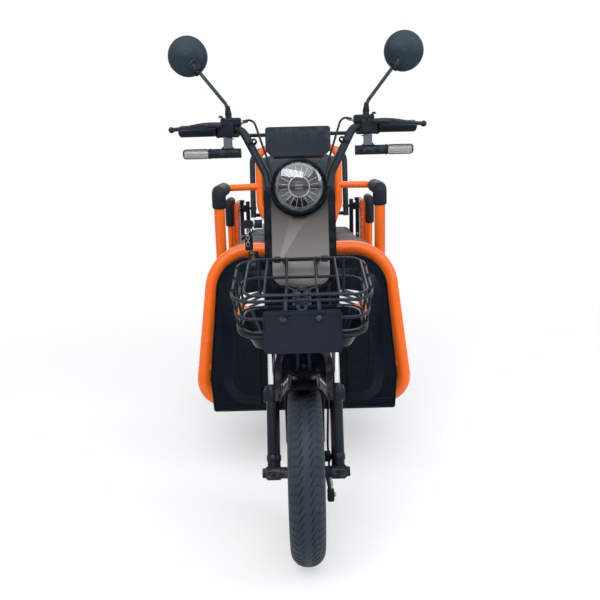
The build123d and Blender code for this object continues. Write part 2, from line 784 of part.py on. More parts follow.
def basket():
    """The wire basket: three loops that narrow downward, their posts and the bracket arms."""
    shape = loop_frame(BASKET_W - 2 * WIRE_R, BASKET_D - 2 * WIRE_R, RIM_CORNER, WIRE_R)
    for drop, inset in RINGS:
        ring = loop_frame(BASKET_W - 2 * WIRE_R - inset, BASKET_D - 2 * WIRE_R - inset, RING_CORNER, WIRE_R)
        shape += Pos(0, 0, -drop) * ring
    half_w = BASKET_W / 2 - WIRE_R
    half_d = BASKET_D / 2 - WIRE_R
    for side, places in ((-1, FRONT_PLACES), (1, BACK_PLACES)):
        for x in places:
            shape += bar((x, side * half_d, 0), (x, side * (half_d - POST_INSET), -POST_DROP), WIRE_R - 0.5)
        for y in SIDE_PLACES:
            shape += bar((side * half_w, y, 0), (side * (half_w - POST_INSET), y, -POST_DROP), WIRE_R - 0.5)
    placed = tilted(shape) + basket_arms()
    for x in (-PLATE_BOLT_X, PLATE_BOLT_X):
        bolt_z = PLATE_Z + PLATE_H / 2 - SLOT_DROP
        foot = tilt_point(x, POST_INSET - half_d, -POST_DROP)
        placed += bar(tilt_point(x, -half_d, 0), (x, PLATE_Y + 6, bolt_z), HOLDER_R)
        placed += bar(foot, (x, PLATE_Y - 3, PLATE_Z - 12), HOLDER_R)
        placed += bar((x, PLATE_Y + 10, PLATE_Z + PLATE_H / 2 - 8), (x, PLATE_Y, PLATE_Z - 20), HOLDER_R)
    return placed - plate_blank()


def basket_liner():
    """The black tub in the front of the basket, hung by its flange on the lowest loop."""
    lip = WIRE_R + LINER_REST - RINGS[-1][0]

    def tub(side, low, high):
        wide = LINER_W - 2 * side
        deep = LINER_D - 2 * side
        top = Pos(0, LINER_Y, high) * RectangleRounded(wide, deep, LINER_CORNER - side)
        foot = RectangleRounded(wide - LINER_TAPER, deep - LINER_TAPER, LINER_CORNER - 8 - side)
        return loft([top, Pos(0, LINER_Y, low) * foot])

    flange = RectangleRounded(LINER_W + 2 * LINER_FLANGE, LINER_D + 2 * LINER_FLANGE, LINER_CORNER)
    shape = tub(0, LINER_FOOT, lip + SKIN) + Pos(0, LINER_Y, lip) * extrude(flange, SKIN)
    shape -= tub(SKIN, LINER_FOOT + SKIN, lip + SKIN + LINER_REST)
    post_x = BASKET_W / 2 - WIRE_R - POST_INSET
    post_y = WIRE_R + POST_INSET - BASKET_D / 2
    posts = [(x, post_y) for x in FRONT_PLACES]
    posts += [(side * post_x, y) for side in (-1, 1) for y in SIDE_PLACES]
    for x, y in posts:
        shape -= Pos(x, y, lip) * Cylinder(WIRE_R + LINER_REST, 4 * SKIN)
    return tilted(shape)


def basket_lid():
    """The hinged wire lid with four lengthwise wires, two hinge eyes and a front latch with its knob."""
    wide = BASKET_W - LID_DROP[0]
    deep = BASKET_D - LID_DROP[1]
    z = LID_RISE
    front_y = -LID_SHIFT - deep / 2
    shape = Pos(LID_SHIFT, -LID_SHIFT, z) * loop_frame(wide, deep, LID_CORNER, LID_R)
    for x in LID_WIRE_X:
        for side in (-1, 1):
            shape += bar((side * x, front_y, z), (side * x, front_y + deep, z), LID_R - 0.4)
    hinge_y = BASKET_D / 2 - WIRE_R
    for side in (-1, 1):
        eye = Pos(side * HINGE_EYE_X, hinge_y, 0) * Rot(0, 90, 0) * Cylinder(WIRE_R + 3, 16)
        strap = Pos(side * HINGE_EYE_X, hinge_y - 12, z - 3) * Box(16, 22, 5)
        shape += eye + strap
        shape -= Pos(side * HINGE_EYE_X, hinge_y, 0) * Rot(0, 90, 0) * Cylinder(WIRE_R + RUNNING_GAP, 20)
    knob_y = front_y + LATCH_REACH
    knob = fillet(Cylinder(KNOB_R, 10).edges(), 3)
    shape += Pos(0, knob_y, z) * knob
    for side in (-1, 1):
        shape += bar((side * LID_WIRE_X[0], knob_y + 24, z), (side * 6, knob_y + 3, z), LID_R - 1)
        shape += bar((side * 5, front_y, z), (side * 5, knob_y, z), LID_R - 1.2)
    return tilted(shape)


def plate_placed(shape):
    """Place a flat shape on the slope of the number plate."""
    return Pos(0, PLATE_Y, PLATE_Z) * Rot(90 - PLATE_LEAN, 0, 0) * shape


def plate_blank():
    """The plate without its slots."""
    return plate_placed(extrude(RectangleRounded(PLATE_W, PLATE_H, PLATE_CORNER), PLATE_THICK))


def number_plate():
    """A blank plate with two short slots, in front of the basket."""
    shape = plate_blank()
    for side in (-1, 1):
        slot = extrude(Pos(side * PLATE_BOLT_X, PLATE_H / 2 - SLOT_DROP) * SlotOverall(*SLOT), 10, both=True)
        shape -= plate_placed(slot)
    return shape


# ---------------------------------------------------------------- leg shield and hoop

def leaned(shape, y, z):
    """Place an upright shape on the slope of the leg shield."""
    return Pos(0, y, z) * Rot(-SHIELD_LEAN, 0, 0) * shape


def shield_plate():
    """The leg shield's flat plate: widest at its waist and narrower towards the top and the foot."""
    side = [(SHIELD_FOOT_W / 2, 0), (SHIELD_W / 2, SHIELD_WAIST), (SHIELD_TOP_W / 2, SHIELD_H)]
    outline = side + [(-x, z) for x, z in reversed(side)]
    return extrude(Plane.XZ * make_face(Polyline(*outline, close=True)), SHIELD_T / 2, both=True)


def leg_shield():
    """The leg shield: a plate with rounded upper corners, a raised middle and a central well."""
    plate = shield_plate()
    plate = fillet(plate.edges().filter_by(Axis.Y).group_by(Axis.Z)[-1], SHIELD_CORNER)
    plate = fillet(plate.edges().filter_by(Axis.Y).group_by(Axis.Z)[0], SHIELD_FOOT_R)
    front = -SHIELD_T / 2 - RAISE / 2
    wide = RAISED_W + 2 * RAISED_SLOPE
    tall = RAISED_H + 2 * RAISED_SLOPE
    middle = RAISED_FOOT + RAISED_H / 2
    base = Plane((0, -SHIELD_T / 2, middle), x_dir=(1, 0, 0), z_dir=(0, -1, 0))
    low = base * RectangleRounded(wide, tall, RAISED_R + RAISED_SLOPE)
    high = base.offset(RAISE) * RectangleRounded(RAISED_W, RAISED_H, RAISED_R)
    raised = loft([low, high])
    well = Pos(0, front - 4, WELL_TOP / 2) * Box(WELL_W, RAISE + 16, WELL_TOP)
    well = fillet(well.edges().filter_by(Axis.Y).group_by(Axis.Z)[-1], WELL_R)
    shape = leaned(plate + raised - well, SHIELD_Y, SHIELD_FOOT)
    return shape - down_tube(TUBE_GAP) - guard_hoop_tubes(TUBE_GAP)


def hoop_leg(z):
    """A point on the middle line of the hoop's left leg, which comes in and leans back towards its top."""
    share = (z - HOOP_FOOT + HOOP_R) / (HOOP_TOP - HOOP_FOOT)
    back = HOOP_Y + (z - HOOP_FOOT + HOOP_R) * math.tan(math.radians(SHIELD_LEAN))
    return (HOOP_W / 2 - HOOP_R - HOOP_NARROW * share, back, z)


def guard_hoop_tubes(extra=0.0):
    """The big orange hoop, an upside-down U that leans with the leg shield."""
    path = [hoop_leg(HOOP_TOP - HOOP_R), hoop_leg(HOOP_FOOT - HOOP_R),
            (RAIL_X + 6, HOOP_Y + HOOP_SET_BACK, HOOP_FOOT - HOOP_R)]
    points = flip(path)[::-1] + path
    bends = [HOOP_FOOT_BEND, HOOP_BEND, HOOP_BEND, HOOP_FOOT_BEND]
    line = FilletPolyline(*points, radius=bends)
    return sweep(Plane(origin=line @ 0, z_dir=line % 0) * Circle(HOOP_R + extra), path=line)


def guard_hoop():
    """The hoop with two stays to the leg shield."""
    shape = guard_hoop_tubes()
    for side in (-1, 1):
        for z in STAY_Z:
            x, y, z = hoop_leg(z)
            end = (side * (SHIELD_W / 2 - 42), y - 18, z)
            shape += bar((side * x, y, z), end, STAY_R)
    return shape - leg_shield_core() - rail(1) - rail(-1)


def leg_shield_core():
    """The plain plate of the leg shield, used to end the hoop's stays on it."""
    plate = Pos(0, 0, SHIELD_H / 2) * Box(SHIELD_W, SHIELD_T, SHIELD_H)
    return leaned(plate, SHIELD_Y, SHIELD_FOOT)


# ---------------------------------------------------------------- frame

def down_tube(extra=0.0):
    """The thick tube from the steering head down to the first cross tube."""
    top = steer_point(0, 0, LOWER_YOKE_S + YOKE_T + 60)
    return bent([top, (0, 330, 470), (0, HOOP_Y + 30, RAIL_Z)], 180, DOWN_R + extra)


def rail(side):
    """One lower rail, from the foot of the leg shield to the back of the luggage box."""
    x = side * RAIL_X
    return bent([(x, HOOP_Y + 10, RAIL_Z), (x, 1010, RAIL_Z), (x, 1120, REAR_RAIL_Z),
                 (x, REAR_BODY_BACK - TUBE_R, REAR_RAIL_Z)], 60, TUBE_R)


def frame():
    """The welded tube frame: steering head, down tube, two rails, cross tubes and seat uprights."""
    low = LOWER_YOKE_S + YOKE_T + THRUST_GAP
    high = UPPER_YOKE_S - THRUST_GAP
    head = Pos(0, 0, (low + high) / 2) * Cylinder(HEAD_TUBE_R, high - low)
    shape = steered(head) + down_tube()
    cross_y = [HOOP_Y + 30, BOX_FRONT + TUBE_R + 4]
    for side in (-1, 1):
        x = side * RAIL_X
        shape += rail(side)
        shape += bar((x, UPRIGHT_Y[0], RAIL_Z), (x, UPRIGHT_Y[0], SEAT_RING_Z), UPRIGHT_R)
        for y in UPRIGHT_Y[1:]:
            shape += bar((x, y, REAR_RAIL_Z), (x, y, SEAT_RING_Z), UPRIGHT_R)
        middle = (REAR_RAIL_Z + AXLE_Z) / 2
        shape += block(24, 50, REAR_RAIL_Z - AXLE_Z, (side * BRACKET_X, WHEELBASE, middle))
    for y in cross_y:
        shape += bar((-RAIL_X, y, RAIL_Z), (RAIL_X, y, RAIL_Z), CROSS_R)
    for y in (WHEELBASE, REAR_BODY_BACK - 2 * TUBE_R):
        shape += bar((-RAIL_X, y, REAR_RAIL_Z), (RAIL_X, y, REAR_RAIL_Z), CROSS_R)
    for y in UPRIGHT_Y:
        shape += bar((-SEAT_SPAN, y, SEAT_RING_Z), (SEAT_SPAN, y, SEAT_RING_Z), SEAT_TUBE_R)
    shape -= steered(Pos(0, 0, (low + high) / 2) * Cylinder(STEM_R + RUNNING_GAP, high - low + 80))
    return shape - across(AXLE_TUBE_R, 800, (0, WHEELBASE, AXLE_Z))


def floor_board():
    """The flat floor for the driver's feet, on the rails."""
    back = UPRIGHT_Y[0] - TUBE_R
    front = HOOP_Y + 6
    z = RAIL_Z + TUBE_R + FLOOR_T / 2
    slab = block(FLOOR_W, back - front, FLOOR_T, (0, (front + back) / 2, z))
    slab = fillet(slab.edges().filter_by(Axis.Z), 30)
    return slab - down_tube(TUBE_GAP) - guard_hoop_tubes(TUBE_GAP)


def battery_box():
    """The closed box under the front bench that holds the battery."""
    low = RAIL_Z + TUBE_R
    high = SEAT_RING_Z - SEAT_TUBE_R - 3
    middle = (0, (BOX_FRONT + BOX_BACK) / 2, (low + high) / 2)
    shape = block(2 * BOX_HALF, BOX_BACK - BOX_FRONT, high - low, middle)
    return fillet(shape.edges().filter_by(Axis.Z), 16)


def rear_body():
    """The luggage box under the rear bench, between the wheels."""
    low = REAR_RAIL_Z + TUBE_R
    high = SEAT_RING_Z - SEAT_TUBE_R - 3
    front = BOX_BACK + BOX_GAP
    shape = block(2 * BOX_HALF, REAR_BODY_BACK - front, high - low,
                  (0, (front + REAR_BODY_BACK) / 2, (low + high) / 2))
    shape = fillet(shape.edges().filter_by(Axis.Z), 16)
    for side in (-1, 1):
        hole = Rot(90, 0, 0) * Cylinder(REAR_BOLT_R, 2 * REAR_BOLT_DEPTH)
        shape -= Pos(side * PLATE_BOLT_X, REAR_BODY_BACK, REAR_PLATE_Z) * hole
    return shape


# ---------------------------------------------------------------- rear axle

def rear_axle():
    """The axle tube with its shafts, running out through both wheels."""
    tube = across(AXLE_TUBE_R, 2 * AXLE_HALF, (0, WHEELBASE, AXLE_Z))
    shaft = across(SHAFT_R, TRACK + 2 * REAR_HUB_HALF + 16, (0, WHEELBASE, AXLE_Z))
    shape = tube + shaft
    for side in (-1, 1):
        nut = extrude(RegularPolygon(REAR_NUT_R, 6), REAR_NUT_T)
        x = side * (TRACK / 2 + REAR_HUB_HALF + 1)
        shape += Pos(x, WHEELBASE, AXLE_Z) * Rot(0, 90 * side, 0) * nut
    return shape - motor_block()


def motor_block():
    """The motor with its differential, on the middle of the axle."""
    drum = across(MOTOR_R, MOTOR_W, (0, WHEELBASE, AXLE_Z))
    snout = across(MOTOR_R * 0.7, MOTOR_W * 0.6, (-30, WHEELBASE + MOTOR_R, AXLE_Z + 6))
    return drum + snout


def rear_fenders():
    """A mudguard over each rear wheel, with its two stays to the body."""
    inner = TYRE_R + FENDER_GAP
    section = arched(REAR_FENDER_W / 2, inner, REAR_FENDER_CHEEK, REAR_FENDER_FLARE)
    shape = spun(section, (TRACK / 2, WHEELBASE, AXLE_Z), *REAR_FENDER_ARC)
    inside = TRACK / 2 - REAR_FENDER_W / 2
    for y in REAR_STAYS:
        z = AXLE_Z + math.sqrt((inner - 12) ** 2 - y ** 2)
        shape += block(inside - BOX_HALF + 3, 30, 12, ((inside + BOX_HALF + 3) / 2, WHEELBASE + y, z))
    return both(shape - upright_tubes())


def upright_tubes():
    """The seat uprights on the left, to cut what passes them."""
    shape = None
    for y in UPRIGHT_Y:
        tube = bar((RAIL_X, y, RAIL_Z), (RAIL_X, y, SEAT_RING_Z), UPRIGHT_R)
        shape = tube if shape is None else shape + tube
    return shape


def tail_lamps():
    """Two red lamps on the back of the luggage box."""
    wide, deep, tall = TAIL_LAMP
    lamp = soft_box(wide, deep, tall, (BOX_HALF - 50, REAR_BODY_BACK + deep / 2, TAIL_LAMP_Z), 5)
    return both(lamp)


# ---------------------------------------------------------------- front bench

def seat_cushion(front_half, back_half, depth, thick, y, z, corner):
    """A bench cushion that narrows to the rear, with rounded upper edges."""
    outline = Polyline((-front_half, y), (front_half, y), (back_half, y + depth), (-back_half, y + depth),
                       close=True)
    slab = Pos(0, 0, z) * extrude(make_face(outline.edges()), thick)
    slab = fillet(slab.edges().filter_by(Axis.Z), corner)
    return fillet(slab.edges().group_by(Axis.Z)[-1], corner * 0.5)


def front_cushion():
    """The driver's bench cushion on its pan."""
    return seat_cushion(*FRONT_SEAT_HALF, FRONT_SEAT_D, CUSHION_T, FRONT_SEAT_Y, SEAT_BOTTOM + PAN_T, 30)


def front_seat_pan():
    """The pan under the driver's bench, with two hinge eyes along its front edge."""
    near, far = PAN_HALF
    front = FRONT_SEAT_Y + PAN_INSET
    back = FRONT_SEAT_Y + FRONT_SEAT_D - PAN_INSET
    outline = Polyline((-near, front), (near, front), (far, back), (-far, back), close=True)
    shape = Pos(0, 0, SEAT_BOTTOM) * extrude(make_face(outline.edges()), PAN_T)
    for side in (-1, 1):
        eye = across(HINGE_R + 4, HINGE_W, (side * HINGE_X, HINGE_Y, HINGE_Z))
        leaf = block(HINGE_W, 24, SEAT_BOTTOM - HINGE_Z + 1,
                     (side * HINGE_X, HINGE_Y + 12, (SEAT_BOTTOM + HINGE_Z) / 2))
        shape += eye + leaf
        shape -= across(HINGE_R + RUNNING_GAP, HINGE_W + 4, (side * HINGE_X, HINGE_Y, HINGE_Z))
    return shape


def seat_hinge():
    """The hinge brackets on the frame, each with a pin through an eye of the pan."""
    shape = None
    for side in (-1, 1):
        pin = across(HINGE_R, HINGE_W + 16, (side * HINGE_X, HINGE_Y, HINGE_Z))
        one = pin
        for end in (-1, 1):
            x = side * HINGE_X + end * (HINGE_W / 2 + 5.5)
            middle = (HINGE_Z + SEAT_RING_Z) / 2 - 3
            one += block(5, 14, HINGE_Z - SEAT_RING_Z + 22, (x, HINGE_Y + 2, middle))
        shape = one if shape is None else shape + one
    return shape - seat_cross_tubes()


def backrest_y(z):
    """Y of the driver's backrest loop at height z: it leans back a little."""
    return ARM_BACK + 12 + (z - SEAT_RING_Z) * BACKREST_LEAN


def backrest_points():
    """The right half of the driver's backrest loop."""
    low = SEAT_RING_Z
    return [(BACKREST_FOOT, backrest_y(low), low), (BACKREST_FOOT, backrest_y(700), 700),
            (BACKREST_HALF, backrest_y(800), 800),
            (BACKREST_HALF, backrest_y(BACKREST_TOP), BACKREST_TOP)]


def armrest_points():
    """One armrest from the seat frame up, back and in to the backrest loop."""
    return [(ARM_X, ARM_FRONT, SEAT_RING_Z), (ARM_X, ARM_FRONT, ARM_Z), (ARM_X, ARM_BACK, ARM_Z),
            (BACKREST_HALF, backrest_y(ARM_Z), ARM_Z)]


def front_arm_frame():
    """The orange tubes of the front bench: side rails, armrests and backrest loop."""
    half = backrest_points()
    loop = bent(flip(half) + half[::-1], BACKREST_BEND, BACKREST_TUBE_R)
    shape = loop
    for side in (-1, 1):
        points = [(side * x, y, z) for x, y, z in armrest_points()]
        shape += bent(points, ARM_BEND, ARM_R)
        x = side * ARM_X
        shape += bar((x, ARM_FRONT, SEAT_RING_Z + 16), (x, ARM_FRONT, ARM_Z - PAD_DROP), SLEEVE_R)
        shape += bar((x, UPRIGHT_Y[0] - 14, SEAT_RING_Z), (x, ARM_BACK + 14, SEAT_RING_Z), SEAT_TUBE_R)
    shape += bar((-ARM_X, ARM_BACK + 12, SEAT_RING_Z), (ARM_X, ARM_BACK + 12, SEAT_RING_Z), SEAT_TUBE_R)
    return shape - seat_cross_tubes()


def seat_cross_tubes():
    """The frame's cross tubes at seat height."""
    shape = None
    for y in UPRIGHT_Y:
        tube = bar((-SEAT_SPAN, y, SEAT_RING_Z), (SEAT_SPAN, y, SEAT_RING_Z), SEAT_TUBE_R)
        shape = tube if shape is None else shape + tube
    return shape


def front_arm_pads():
    """The black foam pads over the front bends of the armrests."""
    points = armrest_points()
    short = [(ARM_X, ARM_FRONT, ARM_Z - PAD_DROP), points[1], (ARM_X, ARM_BACK - 60, ARM_Z)]
    pad = bent(short, ARM_BEND, PAD_R) - bent(points, ARM_BEND, ARM_R)
    return both(pad)


def front_backrest():
    """The driver's back cushion, inside the loop."""
    low = BACK_PAD_LOW
    high = BACKREST_TOP - BACKREST_TUBE_R - 4
    tall = high - low
    wide = 2 * (BACKREST_HALF - BACKREST_TUBE_R) - 8
    pad = Box(wide, BACK_PAD_T, tall)
    pad = fillet(pad.edges().filter_by(Axis.Y), 34)
    pad = fillet(pad.faces().sort_by(Axis.Y)[0].edges(), 14)
    lean = math.degrees(math.atan(BACKREST_LEAN))
    placed = Pos(0, backrest_y((low + high) / 2) - 6, (low + high) / 2) * Rot(-lean, 0, 0) * pad
    half = backrest_points()
    return placed - bent(flip(half) + half[::-1], BACKREST_BEND, BACKREST_TUBE_R + 0.4)


# ---------------------------------------------------------------- rear bench

def rear_cushion():
    """The passengers' bench cushion."""
    return seat_cushion(REAR_SEAT_HALF, REAR_SEAT_HALF, REAR_SEAT_D, CUSHION_T, REAR_SEAT_Y,
                        SEAT_RING_Z + SEAT_TUBE_R, 28)


def rear_posts():
    """Two pairs of posts behind the rear bench, with the pivot pins of the backrest."""
    shape = None
    for side in (-1, 1):
        clamp = soft_box(30, 34, 30, (side * (POST_X + 6), PIVOT_Y, PIVOT_Z), 4)
        clamp -= across(40, 20, (side * (POST_X - 16), PIVOT_Y, PIVOT_Z))
        pin_start = REAR_LOOP_HALF - REAR_LOOP_R - 2
        pin = across(PIVOT_R, POST_X - pin_start, (side * (POST_X + pin_start) / 2, PIVOT_Y, PIVOT_Z))
        one = clamp + pin
        for x in (POST_X, OUTER_POST_X):
            one += bar((side * x, PIVOT_Y, SEAT_RING_Z), (side * x, PIVOT_Y, POST_TOP), POST_R)
        one += Pos(side * OUTER_POST_X, PIVOT_Y, POST_TOP) * fillet(Cylinder(POST_R + 4, 14).edges(), 4)
        shape = one if shape is None else shape + one
    link = bar((-OUTER_POST_X, PIVOT_Y, SEAT_RING_Z), (OUTER_POST_X, PIVOT_Y, SEAT_RING_Z), SEAT_TUBE_R)
    for side in (-1, 1):
        x = side * RAIL_X
        link += bar((x, UPRIGHT_Y[-1], SEAT_RING_Z), (x, PIVOT_Y, SEAT_RING_Z), SEAT_TUBE_R - 2)
    return shape + link - seat_cross_tubes() - upright_both()


def upright_both():
    """All seat uprights."""
    tubes = upright_tubes()
    return tubes + mirror(tubes, Plane.YZ)


def rear_loop_tube(extra=0.0):
    """The bent tube of the passengers' backrest."""
    half = [(REAR_LOOP_HALF, PIVOT_Y - REAR_LOOP_LEG * REAR_LEAN, PIVOT_Z - REAR_LOOP_LEG),
            (REAR_LOOP_HALF, PIVOT_Y + (REAR_LOOP_TOP - PIVOT_Z) * REAR_LEAN, REAR_LOOP_TOP)]
    return bent(flip(half) + half[::-1], REAR_LOOP_BEND, REAR_LOOP_R + extra)


def rear_backrest_loop():
    """The black loop that folds forward on the posts' pins."""
    y = PIVOT_Y - (REAR_LOOP_LEG - 10) * REAR_LEAN
    z = PIVOT_Z - REAR_LOOP_LEG + 10
    foot = bar((-REAR_LOOP_HALF, y, z), (REAR_LOOP_HALF, y, z), REAR_LOOP_R - 4)
    return rear_loop_tube() + foot - across(PIVOT_R + RUNNING_GAP, 900, (0, PIVOT_Y, PIVOT_Z))


def rear_backrest():
    """The passengers' back cushion, in front of the loop."""
    lean = math.degrees(math.atan(REAR_LEAN))
    wide = 2 * (REAR_LOOP_HALF - REAR_LOOP_R) - 8
    tall = REAR_LOOP_TOP - PIVOT_Z - 20
    pad = fillet(Box(wide, REAR_PAD_T, tall).edges().filter_by(Axis.Y), REAR_PAD_CORNER)
    pad = fillet(pad.faces().sort_by(Axis.Y)[0].edges(), 12)
    placed = Pos(0, PIVOT_Y, PIVOT_Z) * Rot(-lean, 0, 0) * Pos(0, 0, tall / 2 - 4) * pad
    return placed - rear_loop_tube(0.4)


def rear_arm_points():
    """One rear armrest from the seat frame up, back and down to the last cross tube."""
    return [(REAR_ARM_X, REAR_ARM_Y, SEAT_RING_Z), (REAR_ARM_X, REAR_ARM_Y, REAR_ARM_Z),
            (REAR_ARM_X, UPRIGHT_Y[-1], REAR_ARM_Z), (REAR_ARM_X, UPRIGHT_Y[-1], SEAT_RING_Z)]


def rear_arm_frame():
    """The orange tubes of the rear armrests and the side rails that carry them."""
    shape = None
    for side in (-1, 1):
        points = [(side * x, y, z) for x, y, z in rear_arm_points()]
        one = bent(points, REAR_ARM_BEND, REAR_ARM_R)
        one += bar((side * REAR_ARM_X, UPRIGHT_Y[1] - 14, SEAT_RING_Z),
                   (side * REAR_ARM_X, UPRIGHT_Y[-1] + 14, SEAT_RING_Z), SEAT_TUBE_R)
        shape = one if shape is None else shape + one
    return shape - seat_cross_tubes()


def rear_arm_pads():
    """The black pads that hook over the front bends of the rear armrests."""
    points = rear_arm_points()
    end = (REAR_ARM_X, UPRIGHT_Y[-1] - 56, REAR_ARM_Z)
    short = [(REAR_ARM_X, REAR_ARM_Y, REAR_PAD_FOOT), points[1], end]
    return both(bent(short, REAR_ARM_BEND, REAR_PAD_R) - bent(points, REAR_ARM_BEND, REAR_ARM_R))


def side_guards():
    """Ribbed orange guards beside the rear bench."""
    y0 = REAR_ARM_Y + 6
    y1 = UPRIGHT_Y[-1] - 20
    panel = block(6, y1 - y0, GUARD_H, (GUARD_X + 8, (y0 + y1) / 2, GUARD_Z + GUARD_H / 2))
    for rib in range(GUARD_RIBS):
        z = GUARD_Z + GUARD_H * (rib + 0.5) / GUARD_RIBS
        panel += bar((GUARD_X + 5, y0, z), (GUARD_X + 5, y1, z), 5)
    foot = block(10, y1 - y0 - 20, GUARD_Z - SEAT_RING_Z - SEAT_TUBE_R + 1,
                 (GUARD_X + 8, (y0 + y1) / 2, (GUARD_Z + SEAT_RING_Z + SEAT_TUBE_R) / 2))
    for end in (y0 + 30, y1 - 30):
        foot += block(18, 16, 14, (GUARD_X + 16, end, SEAT_RING_Z + 12))
    shape = panel + foot
    rail = bar((REAR_ARM_X, 1100, SEAT_RING_Z), (REAR_ARM_X, 1560, SEAT_RING_Z), SEAT_TUBE_R)
    return both(shape - rail)


os.makedirs("parts", exist_ok=True)
front = (0, 0, AXLE_Z)
nodes = {
    "frame": frame(),
    "floor_board": floor_board(),
    "leg_shield": leg_shield(),
    "guard_hoop": guard_hoop(),
    "battery_box": battery_box(),
    "rear_body": rear_body(),
    "rear_axle": rear_axle(),
    "motor_block": motor_block(),
    "rear_fenders": rear_fenders(),
    "tail_lamps": tail_lamps(),
    "seat_hinge": seat_hinge(),
    "front_arm_frame": front_arm_frame(),
    "front_arm_pads": front_arm_pads(),
    "front_backrest": front_backrest(),
    "front_cushion": front_cushion(),
    "front_seat_pan": front_seat_pan(),
    "rear_cushion": rear_cushion(),
    "rear_posts": rear_posts(),
    "rear_arm_frame": rear_arm_frame(),
    "rear_arm_pads": rear_arm_pads(),
    "side_guards": side_guards(),
    "rear_backrest_loop": rear_backrest_loop(),
    "rear_backrest": rear_backrest(),
    "fork_yokes": fork_yokes(),
    "stanchions": stanchions(),
    "fork_legs": fork_legs(),
    "front_axle": front_axle(),
    "front_fender": front_fender(),
    "front_brake": front_brake(),
    "wheel_spacer": wheel_spacer(),
    "handlebar": handlebar(),
    "grips": grips(),
    "switch_housings": switch_housings(),
    "brake_levers": brake_levers(),
    "brake_cables": brake_cables(),
    "mirror_stems": mirror_stems(),
    "mirror_heads": mirror_heads(),
    "mirror_glass": mirror_glass(),
    "turn_signals": turn_signals(),
    "signal_lenses": signal_lenses(),
    "headlight_shell": headlight_shell(),
    "headlight_core": headlight_core(),
    "headlight_lens": headlight_lens(),
    "display": display(),
    "nacelle": nacelle(),
    "key_set": key_set(),
    "basket": basket(),
    "basket_liner": basket_liner(),
    "basket_lid": basket_lid(),
    "number_plate": number_plate(),
    "front_tyre": tyre(front),
    "front_wheel": wheel(front, AXLE_R + RUNNING_GAP, FRONT_HUB_HALF, 1),
}
for side, name in ((1, "left"), (-1, "right")):
    hub = (side * TRACK / 2, WHEELBASE, AXLE_Z)
    nodes[f"rear_tyre_{name}"] = tyre(hub)
    nodes[f"rear_wheel_{name}"] = wheel(hub, SHAFT_R + RUNNING_GAP, REAR_HUB_HALF)

for name, shape in nodes.items():
    save(name, shape)
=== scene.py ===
import math

import bmesh
import bpy
from mathutils import Matrix, Vector
from mathutils.bvhtree import BVHTree


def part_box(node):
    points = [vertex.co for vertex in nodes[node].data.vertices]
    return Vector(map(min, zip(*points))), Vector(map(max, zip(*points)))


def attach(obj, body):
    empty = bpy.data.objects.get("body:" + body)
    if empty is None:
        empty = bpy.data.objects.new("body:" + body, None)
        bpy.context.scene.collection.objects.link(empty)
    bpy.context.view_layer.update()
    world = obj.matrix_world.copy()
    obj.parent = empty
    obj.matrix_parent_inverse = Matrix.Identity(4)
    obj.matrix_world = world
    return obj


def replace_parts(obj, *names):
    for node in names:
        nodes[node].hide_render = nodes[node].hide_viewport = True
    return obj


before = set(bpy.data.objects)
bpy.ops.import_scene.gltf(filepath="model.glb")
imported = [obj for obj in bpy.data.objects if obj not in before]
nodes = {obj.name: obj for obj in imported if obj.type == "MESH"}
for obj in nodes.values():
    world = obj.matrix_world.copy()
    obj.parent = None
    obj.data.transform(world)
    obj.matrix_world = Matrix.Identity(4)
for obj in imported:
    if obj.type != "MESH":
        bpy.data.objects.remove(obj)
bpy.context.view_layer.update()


# ---------------------------------------------------------------- viewpoint
# A standing person's eye in front of the scooter, level with the instrument box and looking down on it.
# The lens is a normal one, and the head is tilted by a degree and a half.
hub_low, hub_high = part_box("front_tyre")
front_hub = (hub_low + hub_high) / 2
eye_distance = 1.589
eye_height = 0.997
look_down = math.radians(12.5)
look_aside = math.radians(0.16)
head_tilt = math.radians(-1.5)


def link(obj):
    """Put a new object into the scene."""
    bpy.context.scene.collection.objects.link(obj)
    return obj


def at(x, back, up):
    """A place measured from the front axle to the rear and from the floor up."""
    return Vector((x, front_hub.y + back, up))


camera_data = bpy.data.cameras.new("viewpoint")
camera_data.lens = 42.5
camera_data.sensor_width = 36
viewpoint = link(bpy.data.objects.new("viewpoint", camera_data))
aim = Matrix.Rotation(look_aside, 4, "Z") @ Matrix.Rotation(math.pi / 2 - look_down, 4, "X")
stance = Matrix.Translation(at(0, -eye_distance, eye_height))
viewpoint.matrix_world = stance @ aim @ Matrix.Rotation(head_tilt, 4, "Z")
bpy.context.scene.camera = viewpoint
bpy.context.scene.view_settings.view_transform = "Standard"


# ---------------------------------------------------------------- node makers
# Each function adds a node or a few to a tree and gives back the result.
def add_node(tree, kind, values=None, **settings):
    """A new node with its settings, and the values of its inputs by label."""
    node = tree.nodes.new(kind)
    for setting, value in settings.items():
        setattr(node, setting, value)
    for label, value in (values or {}).items():
        node.inputs[label].default_value = value
    return node


def join_nodes(tree, *pairs):
    """Link each output to the input beside it."""
    for source, target in pairs:
        tree.links.new(source, target)


def new_material(name):
    """A material with its node tree and its main shader."""
    made = bpy.data.materials.new(name)
    made.use_nodes = True
    return made, made.node_tree, made.node_tree.nodes["Principled BSDF"]


def new_group(name, inputs, outputs):
    """An empty shader node group with named sockets, and its two end nodes."""
    tree = bpy.data.node_groups.new(name, "ShaderNodeTree")
    for label, kind, value in inputs:
        tree.interface.new_socket(label, in_out="INPUT", socket_type=kind).default_value = value
    for label, kind in outputs:
        tree.interface.new_socket(label, in_out="OUTPUT", socket_type=kind)
    return tree, tree.nodes.new("NodeGroupInput"), tree.nodes.new("NodeGroupOutput")


